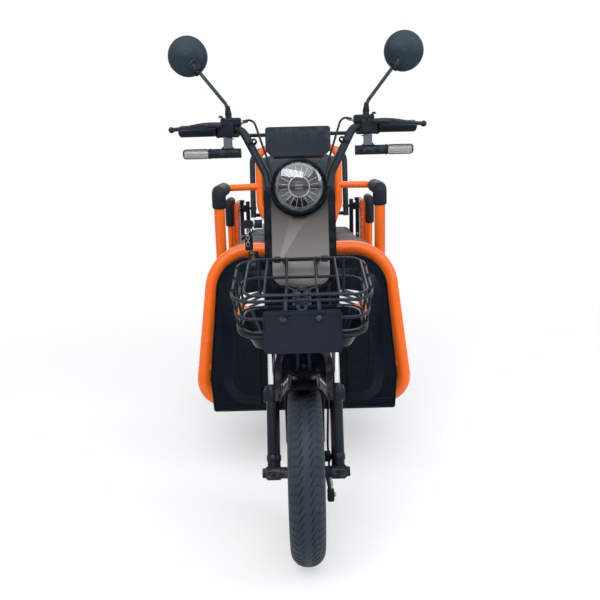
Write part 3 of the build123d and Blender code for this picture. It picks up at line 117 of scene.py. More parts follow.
def add_noise(tree, scale, detail=3.0, rough=0.5, stretch=None):
    """A noise texture in object space, its scale a number or a socket, stretched where that is given."""
    place = tree.nodes.new("ShaderNodeTexCoord").outputs["Object"]
    made = add_node(tree, "ShaderNodeTexNoise", {"Detail": detail, "Roughness": rough})
    if isinstance(scale, (int, float)):
        made.inputs["Scale"].default_value = scale
    else:
        tree.links.new(scale, made.inputs["Scale"])
    if stretch:
        mapping = add_node(tree, "ShaderNodeMapping", {"Scale": stretch})
        tree.links.new(place, mapping.inputs["Vector"])
        place = mapping.outputs["Vector"]
    tree.links.new(place, made.inputs["Vector"])
    return made.outputs["Fac"]


def add_range(tree, value, low, high, to_low=0.0, to_high=1.0):
    """A value stretched from one range to another and held inside it."""
    made = add_node(tree, "ShaderNodeMapRange",
                    {"From Min": low, "From Max": high, "To Min": to_low, "To Max": to_high})
    tree.links.new(value, made.inputs["Value"])
    return made.outputs["Result"]


def add_math(tree, operation, first, second=None):
    """One Math node on a socket and a socket or a number."""
    made = add_node(tree, "ShaderNodeMath", operation=operation)
    tree.links.new(first, made.inputs[0])
    if isinstance(second, (int, float)):
        made.inputs[1].default_value = second
    elif second is not None:
        tree.links.new(second, made.inputs[1])
    return made.outputs["Value"]


def add_blend(tree, mask, first, second):
    """Mix two colours, each a socket or a colour, by a mask."""
    made = add_node(tree, "ShaderNodeMix", data_type="RGBA")
    tree.links.new(mask, made.inputs["Factor"])
    for end, colour in (("A", first), ("B", second)):
        if isinstance(colour, tuple):
            made.inputs[end].default_value = (*colour, 1)
        else:
            tree.links.new(colour, made.inputs[end])
    return made.outputs["Result"]


def add_ramp(tree, first, second, **settings):
    """A colour ramp between two colours."""
    ramp = add_node(tree, "ShaderNodeValToRGB", **settings)
    for element, colour in zip(ramp.color_ramp.elements, (first, second)):
        element.color = (*colour, 1)
    return ramp


# ---------------------------------------------------------------- studio
# A pale matt floor that runs out into a white room, lit from above by a wide soft lamp like an open
# sky, with a wide low one in front on the left and smaller ones on the right and behind.
floor_half = 40.0
floor_mesh = bpy.data.meshes.new("studio_floor")
floor_mesh.from_pydata([(-floor_half, -floor_half, 0), (floor_half, -floor_half, 0),
                        (floor_half, floor_half, 0), (-floor_half, floor_half, 0)], [], [(0, 1, 2, 3)])
floor_material, floor_tree, floor_paint = new_material("floor_pale")
floor_paint.inputs["Roughness"].default_value = 0.9
floor_paint.inputs["Specular IOR Level"].default_value = 0.1
floor_grain = add_node(floor_tree, "ShaderNodeTexNoise", {"Scale": 2.0})
floor_tone = add_ramp(floor_tree, (0.86, 0.86, 0.86), (0.9, 0.9, 0.9))
floor_place = floor_tree.nodes.new("ShaderNodeNewGeometry")
floor_far = add_node(floor_tree, "ShaderNodeVectorMath", operation="LENGTH")
floor_fade = add_node(floor_tree, "ShaderNodeMapRange",
                      {"From Min": 0.4, "From Max": 2.6, "To Min": 0.45, "To Max": 1.0},
                      interpolation_type="SMOOTHSTEP")
floor_glow = floor_tree.nodes.new("ShaderNodeEmission")
floor_ray = floor_tree.nodes.new("ShaderNodeLightPath")
floor_seen = add_math(floor_tree, "MULTIPLY", floor_fade.outputs["Result"],
                      floor_ray.outputs["Is Camera Ray"])
floor_mix = floor_tree.nodes.new("ShaderNodeMixShader")
join_nodes(floor_tree,
           (floor_grain.outputs["Fac"], floor_tone.inputs["Fac"]),
           (floor_tone.outputs["Color"], floor_paint.inputs["Base Color"]),
           (floor_place.outputs["Position"], floor_far.inputs[0]),
           (floor_far.outputs["Value"], floor_fade.inputs["Value"]),
           (floor_seen, floor_mix.inputs["Fac"]),
           (floor_paint.outputs["BSDF"], floor_mix.inputs[1]),
           (floor_glow.outputs["Emission"], floor_mix.inputs[2]),
           (floor_mix.outputs["Shader"], floor_tree.nodes["Material Output"].inputs["Surface"]))
floor_mesh.materials.append(floor_material)
link(bpy.data.objects.new("studio_floor", floor_mesh))

room = bpy.data.worlds.new("white_room")
room.use_nodes = True
bpy.context.scene.world = room
room_tree = room.node_tree
room_light = room_tree.nodes["Background"]
room_light.inputs["Color"].default_value = (0.93, 0.96, 1.0, 1)
room_light.inputs["Strength"].default_value = 0.4
room_seen = add_node(room_tree, "ShaderNodeBackground", {"Color": (1, 1, 1, 1), "Strength": 1.0})
room_ray = room_tree.nodes.new("ShaderNodeLightPath").outputs
seen_or_mirrored = add_math(room_tree, "MAXIMUM", room_ray["Is Camera Ray"], room_ray["Is Glossy Ray"])
seen_through = add_math(room_tree, "MAXIMUM", seen_or_mirrored, room_ray["Is Transmission Ray"])
room_mix = room_tree.nodes.new("ShaderNodeMixShader")
join_nodes(room_tree,
           (seen_through, room_mix.inputs["Fac"]),
           (room_light.outputs["Background"], room_mix.inputs[1]),
           (room_seen.outputs["Background"], room_mix.inputs[2]),
           (room_mix.outputs["Shader"], room_tree.nodes["World Output"].inputs["Surface"]))


def soft_lamp(name, place, size, power, colour):
    """A large square lamp that faces the middle of the scooter."""
    data = bpy.data.lights.new(name, "AREA")
    data.shape = "RECTANGLE"
    data.size, data.size_y = size
    data.energy = power
    data.color = colour
    lamp = link(bpy.data.objects.new(name, data))
    lamp.location = place
    lamp.rotation_euler = (Vector((0, -0.4, 0.6)) - Vector(place)).to_track_quat("-Z", "Y").to_euler()


soft_lamp("lamp_above", (0.0, -1.8, 3.5), (4.4, 4.2), 125, (0.84, 0.93, 1.0))
soft_lamp("lamp_front", (-1.2, -3.6, 3.3), (4.6, 1.3), 95, (1.0, 0.98, 0.95))
soft_lamp("lamp_side", (3.2, -1.8, 2.6), (1.6, 2.4), 55, (0.92, 0.96, 1.0))
soft_lamp("lamp_back", (0.6, 3.6, 3.2), (3.0, 2.2), 50, (1.0, 1.0, 1.0))


# ---------------------------------------------------------------- finishes and makers
# Every finish draws on three shared groups: fine grain and patches, settled dust and worn edges. The
# functions after them dress the solids and build pieces from profiles and rings.
surface_grain, given, result = new_group(
    "surface_grain",
    [("Fine Scale", "NodeSocketFloat", 400.0), ("Patch Scale", "NodeSocketFloat", 6.0)],
    [("Height", "NodeSocketFloat"), ("Patch", "NodeSocketFloat")])
surface_grain.links.new(add_noise(surface_grain, given.outputs["Fine Scale"]), result.inputs["Height"])
surface_grain.links.new(add_noise(surface_grain, given.outputs["Patch Scale"], 5.0, 0.62),
                        result.inputs["Patch"])

settled_dust, given, result = new_group(
    "settled_dust",
    [("Base", "NodeSocketColor", (0, 0, 0, 1)), ("Dust", "NodeSocketColor", (0.15, 0.15, 0.145, 1)),
     ("Amount", "NodeSocketFloat", 0.2)],
    [("Color", "NodeSocketColor"), ("Mask", "NodeSocketFloat")])
facing = settled_dust.nodes.new("ShaderNodeNewGeometry")
facing_parts = settled_dust.nodes.new("ShaderNodeSeparateXYZ")
settled_dust.links.new(facing.outputs["Normal"], facing_parts.inputs["Vector"])
lying = add_range(settled_dust, facing_parts.outputs["Z"], -0.4, 1.0)
patches = add_range(settled_dust, add_noise(settled_dust, 9.0, 6.0), 0.38, 0.72)
dust_mask = add_math(settled_dust, "MULTIPLY", add_math(settled_dust, "MULTIPLY", lying, patches),
                     given.outputs["Amount"])
dusted = add_blend(settled_dust, dust_mask, given.outputs["Base"], given.outputs["Dust"])
settled_dust.links.new(dusted, result.inputs["Color"])
settled_dust.links.new(dust_mask, result.inputs["Mask"])

edge_wear, given, result = new_group(
    "edge_wear",
    [("Base", "NodeSocketColor", (0, 0, 0, 1)), ("Worn", "NodeSocketColor", (0.3, 0.3, 0.3, 1)),
     ("Amount", "NodeSocketFloat", 0.5)],
    [("Color", "NodeSocketColor"), ("Mask", "NodeSocketFloat")])
turning = edge_wear.nodes.new("ShaderNodeNewGeometry")
sharp = add_range(edge_wear, turning.outputs["Pointiness"], 0.53, 0.64)
broken = add_range(edge_wear, add_noise(edge_wear, 60.0, 5.0), 0.46, 0.6)
wear_mask = add_math(edge_wear, "MULTIPLY", add_math(edge_wear, "MULTIPLY", sharp, broken),
                     given.outputs["Amount"])
worn_edge = add_blend(edge_wear, wear_mask, given.outputs["Base"], given.outputs["Worn"])
edge_wear.links.new(worn_edge, result.inputs["Color"])
edge_wear.links.new(wear_mask, result.inputs["Mask"])


def finish_material(name, colour, rough, grain, bump, worn=(0.25, 0.25, 0.25), wear=0.0, dust=0.1,
                    patch=5.0, spread=0.12, metal=0.0, coat=0.0, specular=0.25):
    """A finish whose colour, roughness and relief come from the shared grain, wear and dust groups.

    rough is (lowest, highest) roughness, grain the scale of the fine relief and bump its strength. What
    isn't metal mirrors a little bluer than it is lit.
    """
    made, tree, shader = new_material(name)
    for label, value in (("Metallic", metal), ("Coat Weight", coat), ("Coat Roughness", 0.06),
                         ("Specular IOR Level", specular)):
        shader.inputs[label].default_value = value
    if not metal:
        shader.inputs["Specular Tint"].default_value = (0.62, 0.80, 1.0, 1)
    grains = add_node(tree, "ShaderNodeGroup", {"Fine Scale": grain, "Patch Scale": patch},
                      name="grains", node_tree=surface_grain)
    tint = add_ramp(tree,
                    *[[min(1.0, part * factor) for part in colour] for factor in (1 - spread, 1 + spread)],
                    name="tint")
    for element, place in zip(tint.color_ramp.elements, (0.3, 0.7)):
        element.position = place
    edges = add_node(tree, "ShaderNodeGroup", {"Worn": (*worn, 1), "Amount": wear}, node_tree=edge_wear)
    dusty = add_node(tree, "ShaderNodeGroup", {"Amount": dust}, node_tree=settled_dust)
    relief = add_node(tree, "ShaderNodeBump", {"Strength": bump, "Distance": 0.0005}, name="relief")
    gloss = add_range(tree, grains.outputs["Patch"], 0.3, 0.7, *rough)
    duller = add_math(tree, "MULTIPLY", dusty.outputs["Mask"], 0.6)
    join_nodes(tree,
               (grains.outputs["Patch"], tint.inputs["Fac"]),
               (tint.outputs["Color"], edges.inputs["Base"]),
               (edges.outputs["Color"], dusty.inputs["Base"]),
               (dusty.outputs["Color"], shader.inputs["Base Color"]),
               (add_math(tree, "ADD", gloss, duller), shader.inputs["Roughness"]),
               (grains.outputs["Height"], relief.inputs["Height"]),
               (relief.outputs["Normal"], shader.inputs["Normal"]))
    return made


def dress(material, *names):
    """Give CAD nodes their finish."""
    for name in names:
        nodes[name].data.materials.clear()
        nodes[name].data.materials.append(material)


def piece_from(name, mesh_data, material, body, smooth=35):
    """Link a finished bmesh as a piece that rides on a body."""
    bmesh.ops.recalc_face_normals(mesh_data, faces=mesh_data.faces)
    mesh = bpy.data.meshes.new(name)
    mesh_data.to_mesh(mesh)
    mesh_data.free()
    mesh.materials.append(material)
    mesh.shade_smooth()
    mesh.set_sharp_from_angle(angle=math.radians(smooth))
    made = link(bpy.data.objects.new(name, mesh))
    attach(made, body)
    return made


def facing_way(point, direction):
    """The place of a thing that stands at a point with its own Z along a direction."""
    return Matrix.Translation(point) @ Vector(direction).to_track_quat("Z", "Y").to_matrix().to_4x4()


def skin_rings(mesh_data, rings):
    """Faces between each ring of vertices and the next, triangles where a ring is a single point."""
    for lower, upper in zip(rings, rings[1:]):
        for step in range(len(lower)):
            after = (step + 1) % len(lower)
            corners = list(dict.fromkeys((lower[step], lower[after], upper[after], upper[step])))
            if len(corners) > 2:
                mesh_data.faces.new(corners)


def lathe(mesh_data, profile, place, steps=40):
    """Turn a profile of (radius, height) points about the place's Z."""
    rings = []
    for radius, height in profile:
        if radius < 1e-6:
            rings.append([mesh_data.verts.new(place @ Vector((0, 0, height)))] * steps)
            continue
        ring = []
        for step in range(steps):
            angle = 2 * math.pi * step / steps
            point = Vector((radius * math.cos(angle), radius * math.sin(angle), height))
            ring.append(mesh_data.verts.new(place @ point))
        rings.append(ring)
    skin_rings(mesh_data, rings)


def add_bolt(mesh_data, point, direction, radius, socket=False):
    """A washer with a hexagon head, or with a round head and a hexagon hole."""
    place = facing_way(point, direction)
    lathe(mesh_data, [(0, 0), (radius * 1.5, 0), (radius * 1.55, radius * 0.1), (radius * 1.5, radius * 0.25),
                      (0, radius * 0.25)], place, 24)
    if socket:
        lathe(mesh_data, [(0, radius * 0.25), (radius, radius * 0.25), (radius, radius * 1.0),
                          (radius * 0.85, radius * 1.15), (radius * 0.6, radius * 1.15)], place, 24)
        lathe(mesh_data, [(radius * 0.6, radius * 1.15), (radius * 0.55, radius * 1.12),
                          (radius * 0.55, radius * 0.6), (0, radius * 0.5)], place, 6)
    else:
        lathe(mesh_data, [(0, radius * 0.25), (radius * 1.12, radius * 0.25), (radius * 1.12, radius * 0.85),
                          (radius * 0.98, radius * 1.0), (0, radius * 1.0)], place, 6)


def bolt_set(name, places, radius, material, body, socket=False):
    """A set of equal bolts on one body, from (point, direction) pairs."""
    mesh_data = bmesh.new()
    for point, direction in places:
        add_bolt(mesh_data, point, direction, radius, socket)
    return piece_from(name, mesh_data, material, body)


def weld_beads(name, joints_list, material, body):
    """Lumpy rings where tubes meet, from (point, direction, radius) triples."""
    mesh_data = bmesh.new()
    around = 72
    for point, direction, radius in joints_list:
        place = facing_way(point, direction)
        rings = []
        for step in range(around):
            angle = 2 * math.pi * step / around
            bead = 0.0022 + 0.0006 * math.sin(step * math.pi / 1.5)
            ring = []
            for part in range(6):
                turn = 2 * math.pi * part / 6
                reach = radius + bead * math.cos(turn)
                spot = Vector((reach * math.cos(angle), reach * math.sin(angle), bead * math.sin(turn)))
                ring.append(mesh_data.verts.new(place @ spot))
            rings.append(ring)
        skin_rings(mesh_data, rings + rings[:1])
    return piece_from(name, mesh_data, material, body)


# ---------------------------------------------------------------- frame
# The frame is welded from round steel tube with plates for the axle, and is powder coated satin black.
# Its beads are left as welded, and bolts hold the boxes and the floor to it.
frame_black = finish_material("frame_black", (0.006, 0.0075, 0.010), (0.34, 0.46), 900, 0.2, wear=0.25,
                              dust=0.10, specular=0.2)
zinc_steel = finish_material("zinc_steel", (0.36, 0.36, 0.37), (0.28, 0.45), 500, 0.15, metal=1.0, dust=0.2,
                             worn=(0.5, 0.5, 0.5), wear=0.3)
dress(frame_black, "frame", "rear_posts", "rear_backrest_loop")
seat_ring_up = 0.557
rail_up = 0.204
weld_beads("frame_welds", [
    *[(at(side * 0.188, 0.862, rail_up + 0.0135), (0, 0, 1), 0.011) for side in (-1, 1)],
    *[(at(side * 0.188, back, 0.311), (0, 0, 1), 0.011) for side in (-1, 1) for back in (1.27, 1.49)],
    *[(at(side * 0.188, back, seat_ring_up - 0.0115), (0, 0, 1), 0.011)
      for side in (-1, 1) for back in (0.862, 1.27, 1.49)],
    *[(at(side * 0.1745, back, rail_up), (1, 0, 0), 0.012) for side in (-1, 1) for back in (0.54, 0.893)],
    *[(at(side * 0.1745, back, 0.298), (1, 0, 0), 0.012) for side in (-1, 1) for back in (1.2, 1.477)],
], frame_black, "chassis")
bolt_set("axle_clamp_bolts",
         [(at(side * 0.12, back, 0.300), (0, 0, 1)) for side in (-1, 1) for back in (1.182, 1.218)], 0.005,
         zinc_steel, "chassis")


# ---------------------------------------------------------------- rear axle and motor
# The axle is a steel tube with a turned shaft through both wheels, and the motor is a finned aluminium
# casting bolted round its middle.
cast_grey = finish_material("cast_grey", (0.30, 0.31, 0.32), (0.45, 0.62), 260, 0.45, metal=0.85, dust=0.3,
                            patch=14, wear=0.2, worn=(0.5, 0.5, 0.5))
dress(zinc_steel, "rear_axle")
dress(cast_grey, "motor_block")


def ring_fins(name, places, inner, outer, thick, material, body):
    """Thin round fins about an axis that runs across the vehicle."""
    mesh_data = bmesh.new()
    for point in places:
        lathe(mesh_data,
              [(inner, -thick / 2), (outer - thick, -thick / 2), (outer, 0), (outer - thick, thick / 2),
               (inner, thick / 2)], facing_way(point, (1, 0, 0)), 64)
    return piece_from(name, mesh_data, material, body)


axle_up = front_hub.z
rear_axle_back = 1.2
cover_bolt_r = 0.054
fins = ring_fins("motor_fins", [at(-0.06 + 0.0133 * step, rear_axle_back, axle_up) for step in range(10)],
                 0.0655, 0.0735, 0.003, cast_grey, "chassis")
for name, way in (("motor_bolts", 1), ("gearbox_bolts", -1)):
    bolt_set(name, [(at(way * 0.075, rear_axle_back + cover_bolt_r * math.cos(turn),
                        axle_up + cover_bolt_r * math.sin(turn)), (way, 0, 0))
                    for turn in [math.pi * step / 3 for step in range(6)]], 0.0045, zinc_steel, "chassis")


# ---------------------------------------------------------------- rear mudguards
# Each rear mudguard is a moulded black plastic shell with a rolled edge, held by two straps and screws.
gloss_black = finish_material("gloss_black", (0.0013, 0.0024, 0.0045), (0.12, 0.15), 1500, 0.01, wear=0.04,
                              dust=0.01, specular=0.13, spread=0.04)
dress(gloss_black, "rear_fenders")


def curve_mesh(path, order, finer=8, radius=0.0, sides=8, closed=False):
    """The mesh of a smooth line through control points, a round bar where it has a radius."""
    data = bpy.data.curves.new("line", "CURVE")
    data.dimensions = "3D"
    data.resolution_u = finer
    line = data.splines.new("NURBS")
    line.points.add(len(path) - 1)
    for point, place in zip(line.points, path):
        point.co = (*place, 1)
    line.order_u = order
    line.use_endpoint_u = not closed
    line.use_cyclic_u = closed
    data.bevel_depth = radius
    data.bevel_resolution = sides // 2 - 1
    data.use_fill_caps = True
    holder = bpy.data.objects.new("line", data)
    mesh = bpy.data.meshes.new_from_object(holder)
    bpy.data.objects.remove(holder)
    bpy.data.curves.remove(data)
    return mesh


def wire_piece(name, paths, radius, material, body, closed=False, sides=8):
    """Round bars or beads along smooth lines through control points."""
    mesh_data = bmesh.new()
    for path in paths:
        tube = curve_mesh(path, 3, 8, radius, sides, closed)
        mesh_data.from_mesh(tube)
        bpy.data.meshes.remove(tube)
    return piece_from(name, mesh_data, material, body, 50)


def arc_about(x, centre_back, centre_up, radius, start, end, steps):
    """Points of an arc about an axis across the vehicle, its angles from the rear horizontal."""
    return [at(x, centre_back + radius * math.cos(math.radians(start + (end - start) * step / steps)),
               centre_up + radius * math.sin(math.radians(start + (end - start) * step / steps)))
            for step in range(steps + 1)]


bead = wire_piece("rear_fender_beads", [arc_about(side * x, rear_axle_back, axle_up, 0.2205, 13, 167, 30)
                                        for side in (-1, 1) for x in (0.2065, 0.3035)],
                  0.0022, gloss_black, "chassis")
bolt_set("rear_fender_screws",
         [(at(side * 0.19, rear_axle_back + y, axle_up + math.sqrt(0.238 ** 2 - y ** 2) + 0.006), (0, 0, 1))
          for side in (-1, 1) for y in (-0.11, 0.13)], 0.0045, zinc_steel, "chassis", True)


# ---------------------------------------------------------------- battery box and luggage box
# Both boxes are moulded from grained black plastic. Seams part the lids from the tubs, the sides carry
# slotted vents, and the lids are held by catches.
body_black = finish_material("body_black", (0.006, 0.0075, 0.0105), (0.42, 0.56), 1100, 0.35, wear=0.3,
                             dust=0.08, worn=(0.08, 0.08, 0.085), specular=0.18)
dress(body_black, "battery_box", "rear_body", "front_seat_pan", "front_brake", "turn_signals")


def panel(mesh_data, place, wide, tall, thick, corner, edge=0.0012, steps=6):
    """A flat plate with rounded corners and a small bevelled rim, on the XY plane of a place."""
    loops = []
    half_w, half_t = wide / 2, tall / 2
    for inset, height in ((0, 0), (0, thick - edge), (edge, thick)):
        ring = []
        for x, y, start in ((1, 1, 0), (-1, 1, 90), (-1, -1, 180), (1, -1, 270)):
            for step in range(steps + 1):
                turn = math.radians(start + 90 * step / steps)
                reach = max(corner - inset, 0.0002)
                point = Vector((x * (half_w - corner) + reach * math.cos(turn),
                                y * (half_t - corner) + reach * math.sin(turn), height))
                ring.append(mesh_data.verts.new(place @ point))
        loops.append(ring)
    skin_rings(mesh_data, loops)
    mesh_data.faces.new(loops[-1])
    mesh_data.faces.new(list(reversed(loops[0])))


def panel_place(point, facing, upward=(0, 0, 1)):
    """A place whose Z looks along facing and whose Y runs as near upward as it can."""
    out = Vector(facing).normalized()
    side = Vector(upward).cross(out).normalized()
    rise = out.cross(side)
    turned = Matrix((side, rise, out)).transposed().to_4x4()
    return Matrix.Translation(point) @ turned


box_front, box_rear = 0.875, 1.505
trim = bmesh.new()
for side in (-1, 1):
    for centre, length in ((0.9935, 0.19), (1.338, 0.285)):
        panel(trim, panel_place(at(side * 0.172, centre, 0.50), (side, 0, 0)), length, 0.006, 0.0035, 0.0028)
        for row in range(6):
            panel(trim, panel_place(at(side * 0.172, centre, 0.36 + 0.014 * row), (side, 0, 0)),
                  length * 0.55, 0.0055, 0.003, 0.0026)
for back, facing in ((box_front, -1), (box_rear, 1)):
    panel(trim, panel_place(at(0, back, 0.50), (0, facing, 0)), 0.30, 0.006, 0.0035, 0.0028)
panel(trim, panel_place(at(0, box_front, 0.37), (0, -1, 0)), 0.26, 0.17, 0.004, 0.02, 0.002)
panel(trim, panel_place(at(0, box_rear, 0.345), (0, 1, 0)), 0.09, 0.04, 0.004, 0.008, 0.002)
piece_from("box_trim", trim, body_black, "chassis")
catches = bmesh.new()
for x in (-0.08, 0.08):
    panel(catches, panel_place(at(x, 0.871, 0.50), (0, -1, 0)), 0.026, 0.05, 0.006, 0.005, 0.0015)
    panel(catches, panel_place(at(x, box_rear, 0.50), (0, 1, 0)), 0.026, 0.05, 0.008, 0.005, 0.0015)
piece_from("box_catches", catches, zinc_steel, "chassis")
bolt_set("box_screws", [(at(side * 0.115, 0.871, up), (0, -1, 0)) for side in (-1, 1) for up in (0.30, 0.44)],
         0.004, zinc_steel, "chassis", True)


# ---------------------------------------------------------------- tail lamps
# Two red lamps, each a clear red cover over a row of bright cells in a black surround.
def lens_material(name, colour, rough, cells, depth, clear=0.9):
    """A tinted glassy cover with moulded prism cells, whose relief comes from a fine voronoi."""
    made, tree, shader = new_material(name)
    shader.inputs["Transmission Weight"].default_value = clear
    shader.inputs["IOR"].default_value = 1.45
    place = tree.nodes.new("ShaderNodeTexCoord")
    prisms = add_node(tree, "ShaderNodeTexVoronoi", {"Scale": cells, "Randomness": 0.15})
    tint = add_ramp(tree, colour, [part * 0.86 for part in colour])
    relief = add_node(tree, "ShaderNodeBump", {"Strength": depth, "Distance": 0.001})
    smear = add_range(tree, prisms.outputs["Distance"], 0.0, 1.0, *rough)
    join_nodes(tree,
               (place.outputs["Object"], prisms.inputs["Vector"]),
               (prisms.outputs["Distance"], tint.inputs["Fac"]),
               (tint.outputs["Color"], shader.inputs["Base Color"]),
               (prisms.outputs["Distance"], relief.inputs["Height"]),
               (relief.outputs["Normal"], shader.inputs["Normal"]),
               (smear, shader.inputs["Roughness"]))
    return made


red_lens = lens_material("red_lens", (0.60, 0.012, 0.01), (0.06, 0.14), 160, 0.5)
dress(red_lens, "tail_lamps")
surround = bmesh.new()
for side in (-1, 1):
    lamp_x = side * 0.122
    for x, up, wide, tall in ((0, 0.0215, 0.078, 0.005), (0, -0.0215, 0.078, 0.005),
                              (0.0375, 0, 0.005, 0.044), (-0.0375, 0, 0.005, 0.044)):
        panel(surround, panel_place(at(lamp_x + x, box_rear, 0.432 + up), (0, 1, 0)), wide, tall, 0.014,
              0.002)
piece_from("tail_lamp_surrounds", surround, body_black, "chassis")


# ---------------------------------------------------------------- floor board
# A flat steel board under a ribbed rubber mat with a raised hem, screwed to the rails.
floor_mat = finish_material("floor_mat", (0.010, 0.011, 0.013), (0.6, 0.78), 800, 0.4, dust=0.45, patch=12)
dress(floor_mat, "floor_board")
mat_up = 0.232
mat_ribs = bmesh.new()
for row in range(15):
    x = -0.21 + 0.03 * row
    if abs(x) > 0.02:
        panel(mat_ribs, panel_place(at(x, 0.72, mat_up), (0, 0, 1), (0, 1, 0)), 0.009, 0.215, 0.0025, 0.004)
for back in (0.60, 0.84):
    panel(mat_ribs, panel_place(at(0, back, mat_up), (0, 0, 1), (0, 1, 0)), 0.45, 0.007, 0.003, 0.003)
for side in (-1, 1):
    panel(mat_ribs, panel_place(at(side * 0.228, 0.72, mat_up), (0, 0, 1), (0, 1, 0)), 0.007, 0.24, 0.003,
          0.003)
piece_from("mat_ribs", mat_ribs, floor_mat, "chassis")
bolt_set("floor_screws",
         [(at(side * 0.188, back, mat_up), (0, 0, 1)) for side in (-1, 1) for back in (0.62, 0.82)], 0.005,
         zinc_steel, "chassis", True)


# ---------------------------------------------------------------- leg shield
# The leg shield is moulded in glossy black plastic with a rolled edge. It has a seam above its lower
# lip, screws round the raised middle, and a striped warning film on each side of the basket.
dress(gloss_black, "leg_shield")
shield_lean = math.radians(10)
shield_foot_back = 0.452
shield_foot_up = 0.204
shield_h = 0.468


def on_shield(x, rise, front):
    """A place on the leg shield: across, up its slope and out in front of its middle plane."""
    return at(x, shield_foot_back + rise * math.sin(shield_lean) - front * math.cos(shield_lean),
              shield_foot_up + rise * math.cos(shield_lean) + front * math.sin(shield_lean))


def rounded_line(corners, steps=8):
    """A closed flat line through corners of (x, y, radius), each rounded by an arc."""
    line = []
    for index, (x, y, radius) in enumerate(corners):
        here = Vector((x, y))
        back = (Vector(corners[index - 1][:2]) - here).normalized()
        ahead = (Vector(corners[(index + 1) % len(corners)][:2]) - here).normalized()
        half = back.angle(ahead) / 2
        middle = here + (back + ahead).normalized() * (radius / math.sin(half))
        start = here + back * (radius / math.tan(half)) - middle
        side = 1 if back.cross(ahead) < 0 else -1
        for step in range(steps + 1):
            turn = side * (math.pi - 2 * half) * step / steps
            line.append(middle + Vector((start.x * math.cos(turn) - start.y * math.sin(turn),
                                         start.x * math.sin(turn) + start.y * math.cos(turn))))
    return line


edge_half = [(0.2715, 0.003, 0.006), (0.2800, 0.100, 0.060), (0.2472, shield_h - 0.003, 0.102)]
edge_line = rounded_line(edge_half + [(-x, rise, radius) for x, rise, radius in reversed(edge_half)])
rolled = wire_piece("shield_edge", [[on_shield(x, rise, 0.0125) for x, rise in edge_line]], 0.0032,
                    gloss_black, "chassis", closed=True)
step_lines = wire_piece("shield_creases",
                        [[on_shield(side * x, rise, 0.0132)
                          for x, rise in ((0.268, 0.030), (0.20, 0.026), (0.135, 0.034))] for side in (-1, 1)]
                        + [[on_shield(side * x, rise, 0.0352)
                            for x, rise in ((0.198, 0.33), (0.198, 0.12), (0.184, 0.085), (0.14, 0.078))]
                           for side in (-1, 1)], 0.0012, gloss_black, "chassis")
bolt_set("shield_screws",
         [(on_shield(side * x, rise, 0.013), (0, -math.cos(shield_lean), math.sin(shield_lean)))
          for side in (-1, 1) for x, rise in ((0.2535, 0.26), (0.258, 0.075), (0.110, 0.446))], 0.0042,
         gloss_black, "chassis", True)


def film_material(name, dark, pale, warm, band, split):
    """A printed film: slanted pale bands on black, with a warm field outside a slanted line."""
    made, tree, shader = new_material(name)
    shader.inputs["Coat Weight"].default_value = 0.4
    shader.inputs["Specular IOR Level"].default_value = 0.4
    place = tree.nodes.new("ShaderNodeTexCoord")
    parts = tree.nodes.new("ShaderNodeSeparateXYZ")
    tree.links.new(place.outputs["Object"], parts.inputs["Vector"])
    outward = add_math(tree, "ABSOLUTE", parts.outputs["X"])
    slanted = add_math(tree, "ADD", parts.outputs["Z"], add_math(tree, "MULTIPLY", outward, 0.38))
    stripes = add_math(tree, "GREATER_THAN",
                       add_math(tree, "FRACT", add_math(tree, "MULTIPLY", slanted, band)), 0.5)
    field = add_math(tree, "GREATER_THAN",
                     add_math(tree, "ADD", add_math(tree, "MULTIPLY", outward, 0.53),
                              add_math(tree, "MULTIPLY", parts.outputs["Z"], -1.0)), split)
    banded = add_blend(tree, stripes, dark, pale)
    printed = add_blend(tree, field, banded, warm)
    dusty = add_node(tree, "ShaderNodeGroup", {"Amount": 0.1}, node_tree=settled_dust)
    tree.links.new(printed, dusty.inputs["Base"])
    tree.links.new(dusty.outputs["Color"], shader.inputs["Base Color"])
    tree.links.new(add_range(tree, add_noise(tree, 30.0), 0.3, 0.7, 0.22, 0.4), shader.inputs["Roughness"])
    return made


striped_film = film_material("striped_film", (0.01, 0.01, 0.012), (0.72, 0.74, 0.76), (0.80, 0.12, 0.008),
                             64.0, -0.438)
for side, name in ((-1, "right"), (1, "left")):
    film = bmesh.new()
    outline = rounded_line([(0.112, 0.258, 0.008), (0.199, 0.240, 0.016), (0.188, 0.354, 0.012),
                            (0.112, 0.366, 0.006)])
    corners = [film.verts.new(on_shield(side * x, rise, 0.0354)) for x, rise in outline]
    film.faces.new(corners)
    piece_from(f"striped_film_{name}", film, striped_film, "chassis")


# ---------------------------------------------------------------- guard hoop
# The big hoop round the leg shield is bent from steel tube and painted glossy orange, like the
# armrests and backrest of the benches. Its stays are welded to it.
orange_paint = finish_material("orange_paint", (0.80, 0.125, 0.007), (0.2, 0.3), 1300, 0.05, wear=0.25,
                               dust=0.06, worn=(0.32, 0.1, 0.03), coat=0.12, spread=0.05)
dress(orange_paint, "guard_hoop", "front_arm_frame", "rear_arm_frame")
weld_beads("hoop_welds",
           [(at(side * (0.300 - 0.1164 * (up - 0.2135)), 0.503 + (up - 0.2135) * math.tan(shield_lean), up),
             (side, 0.25, 0), 0.007) for side in (-1, 1) for up in (0.322, 0.522)], orange_paint, "chassis")


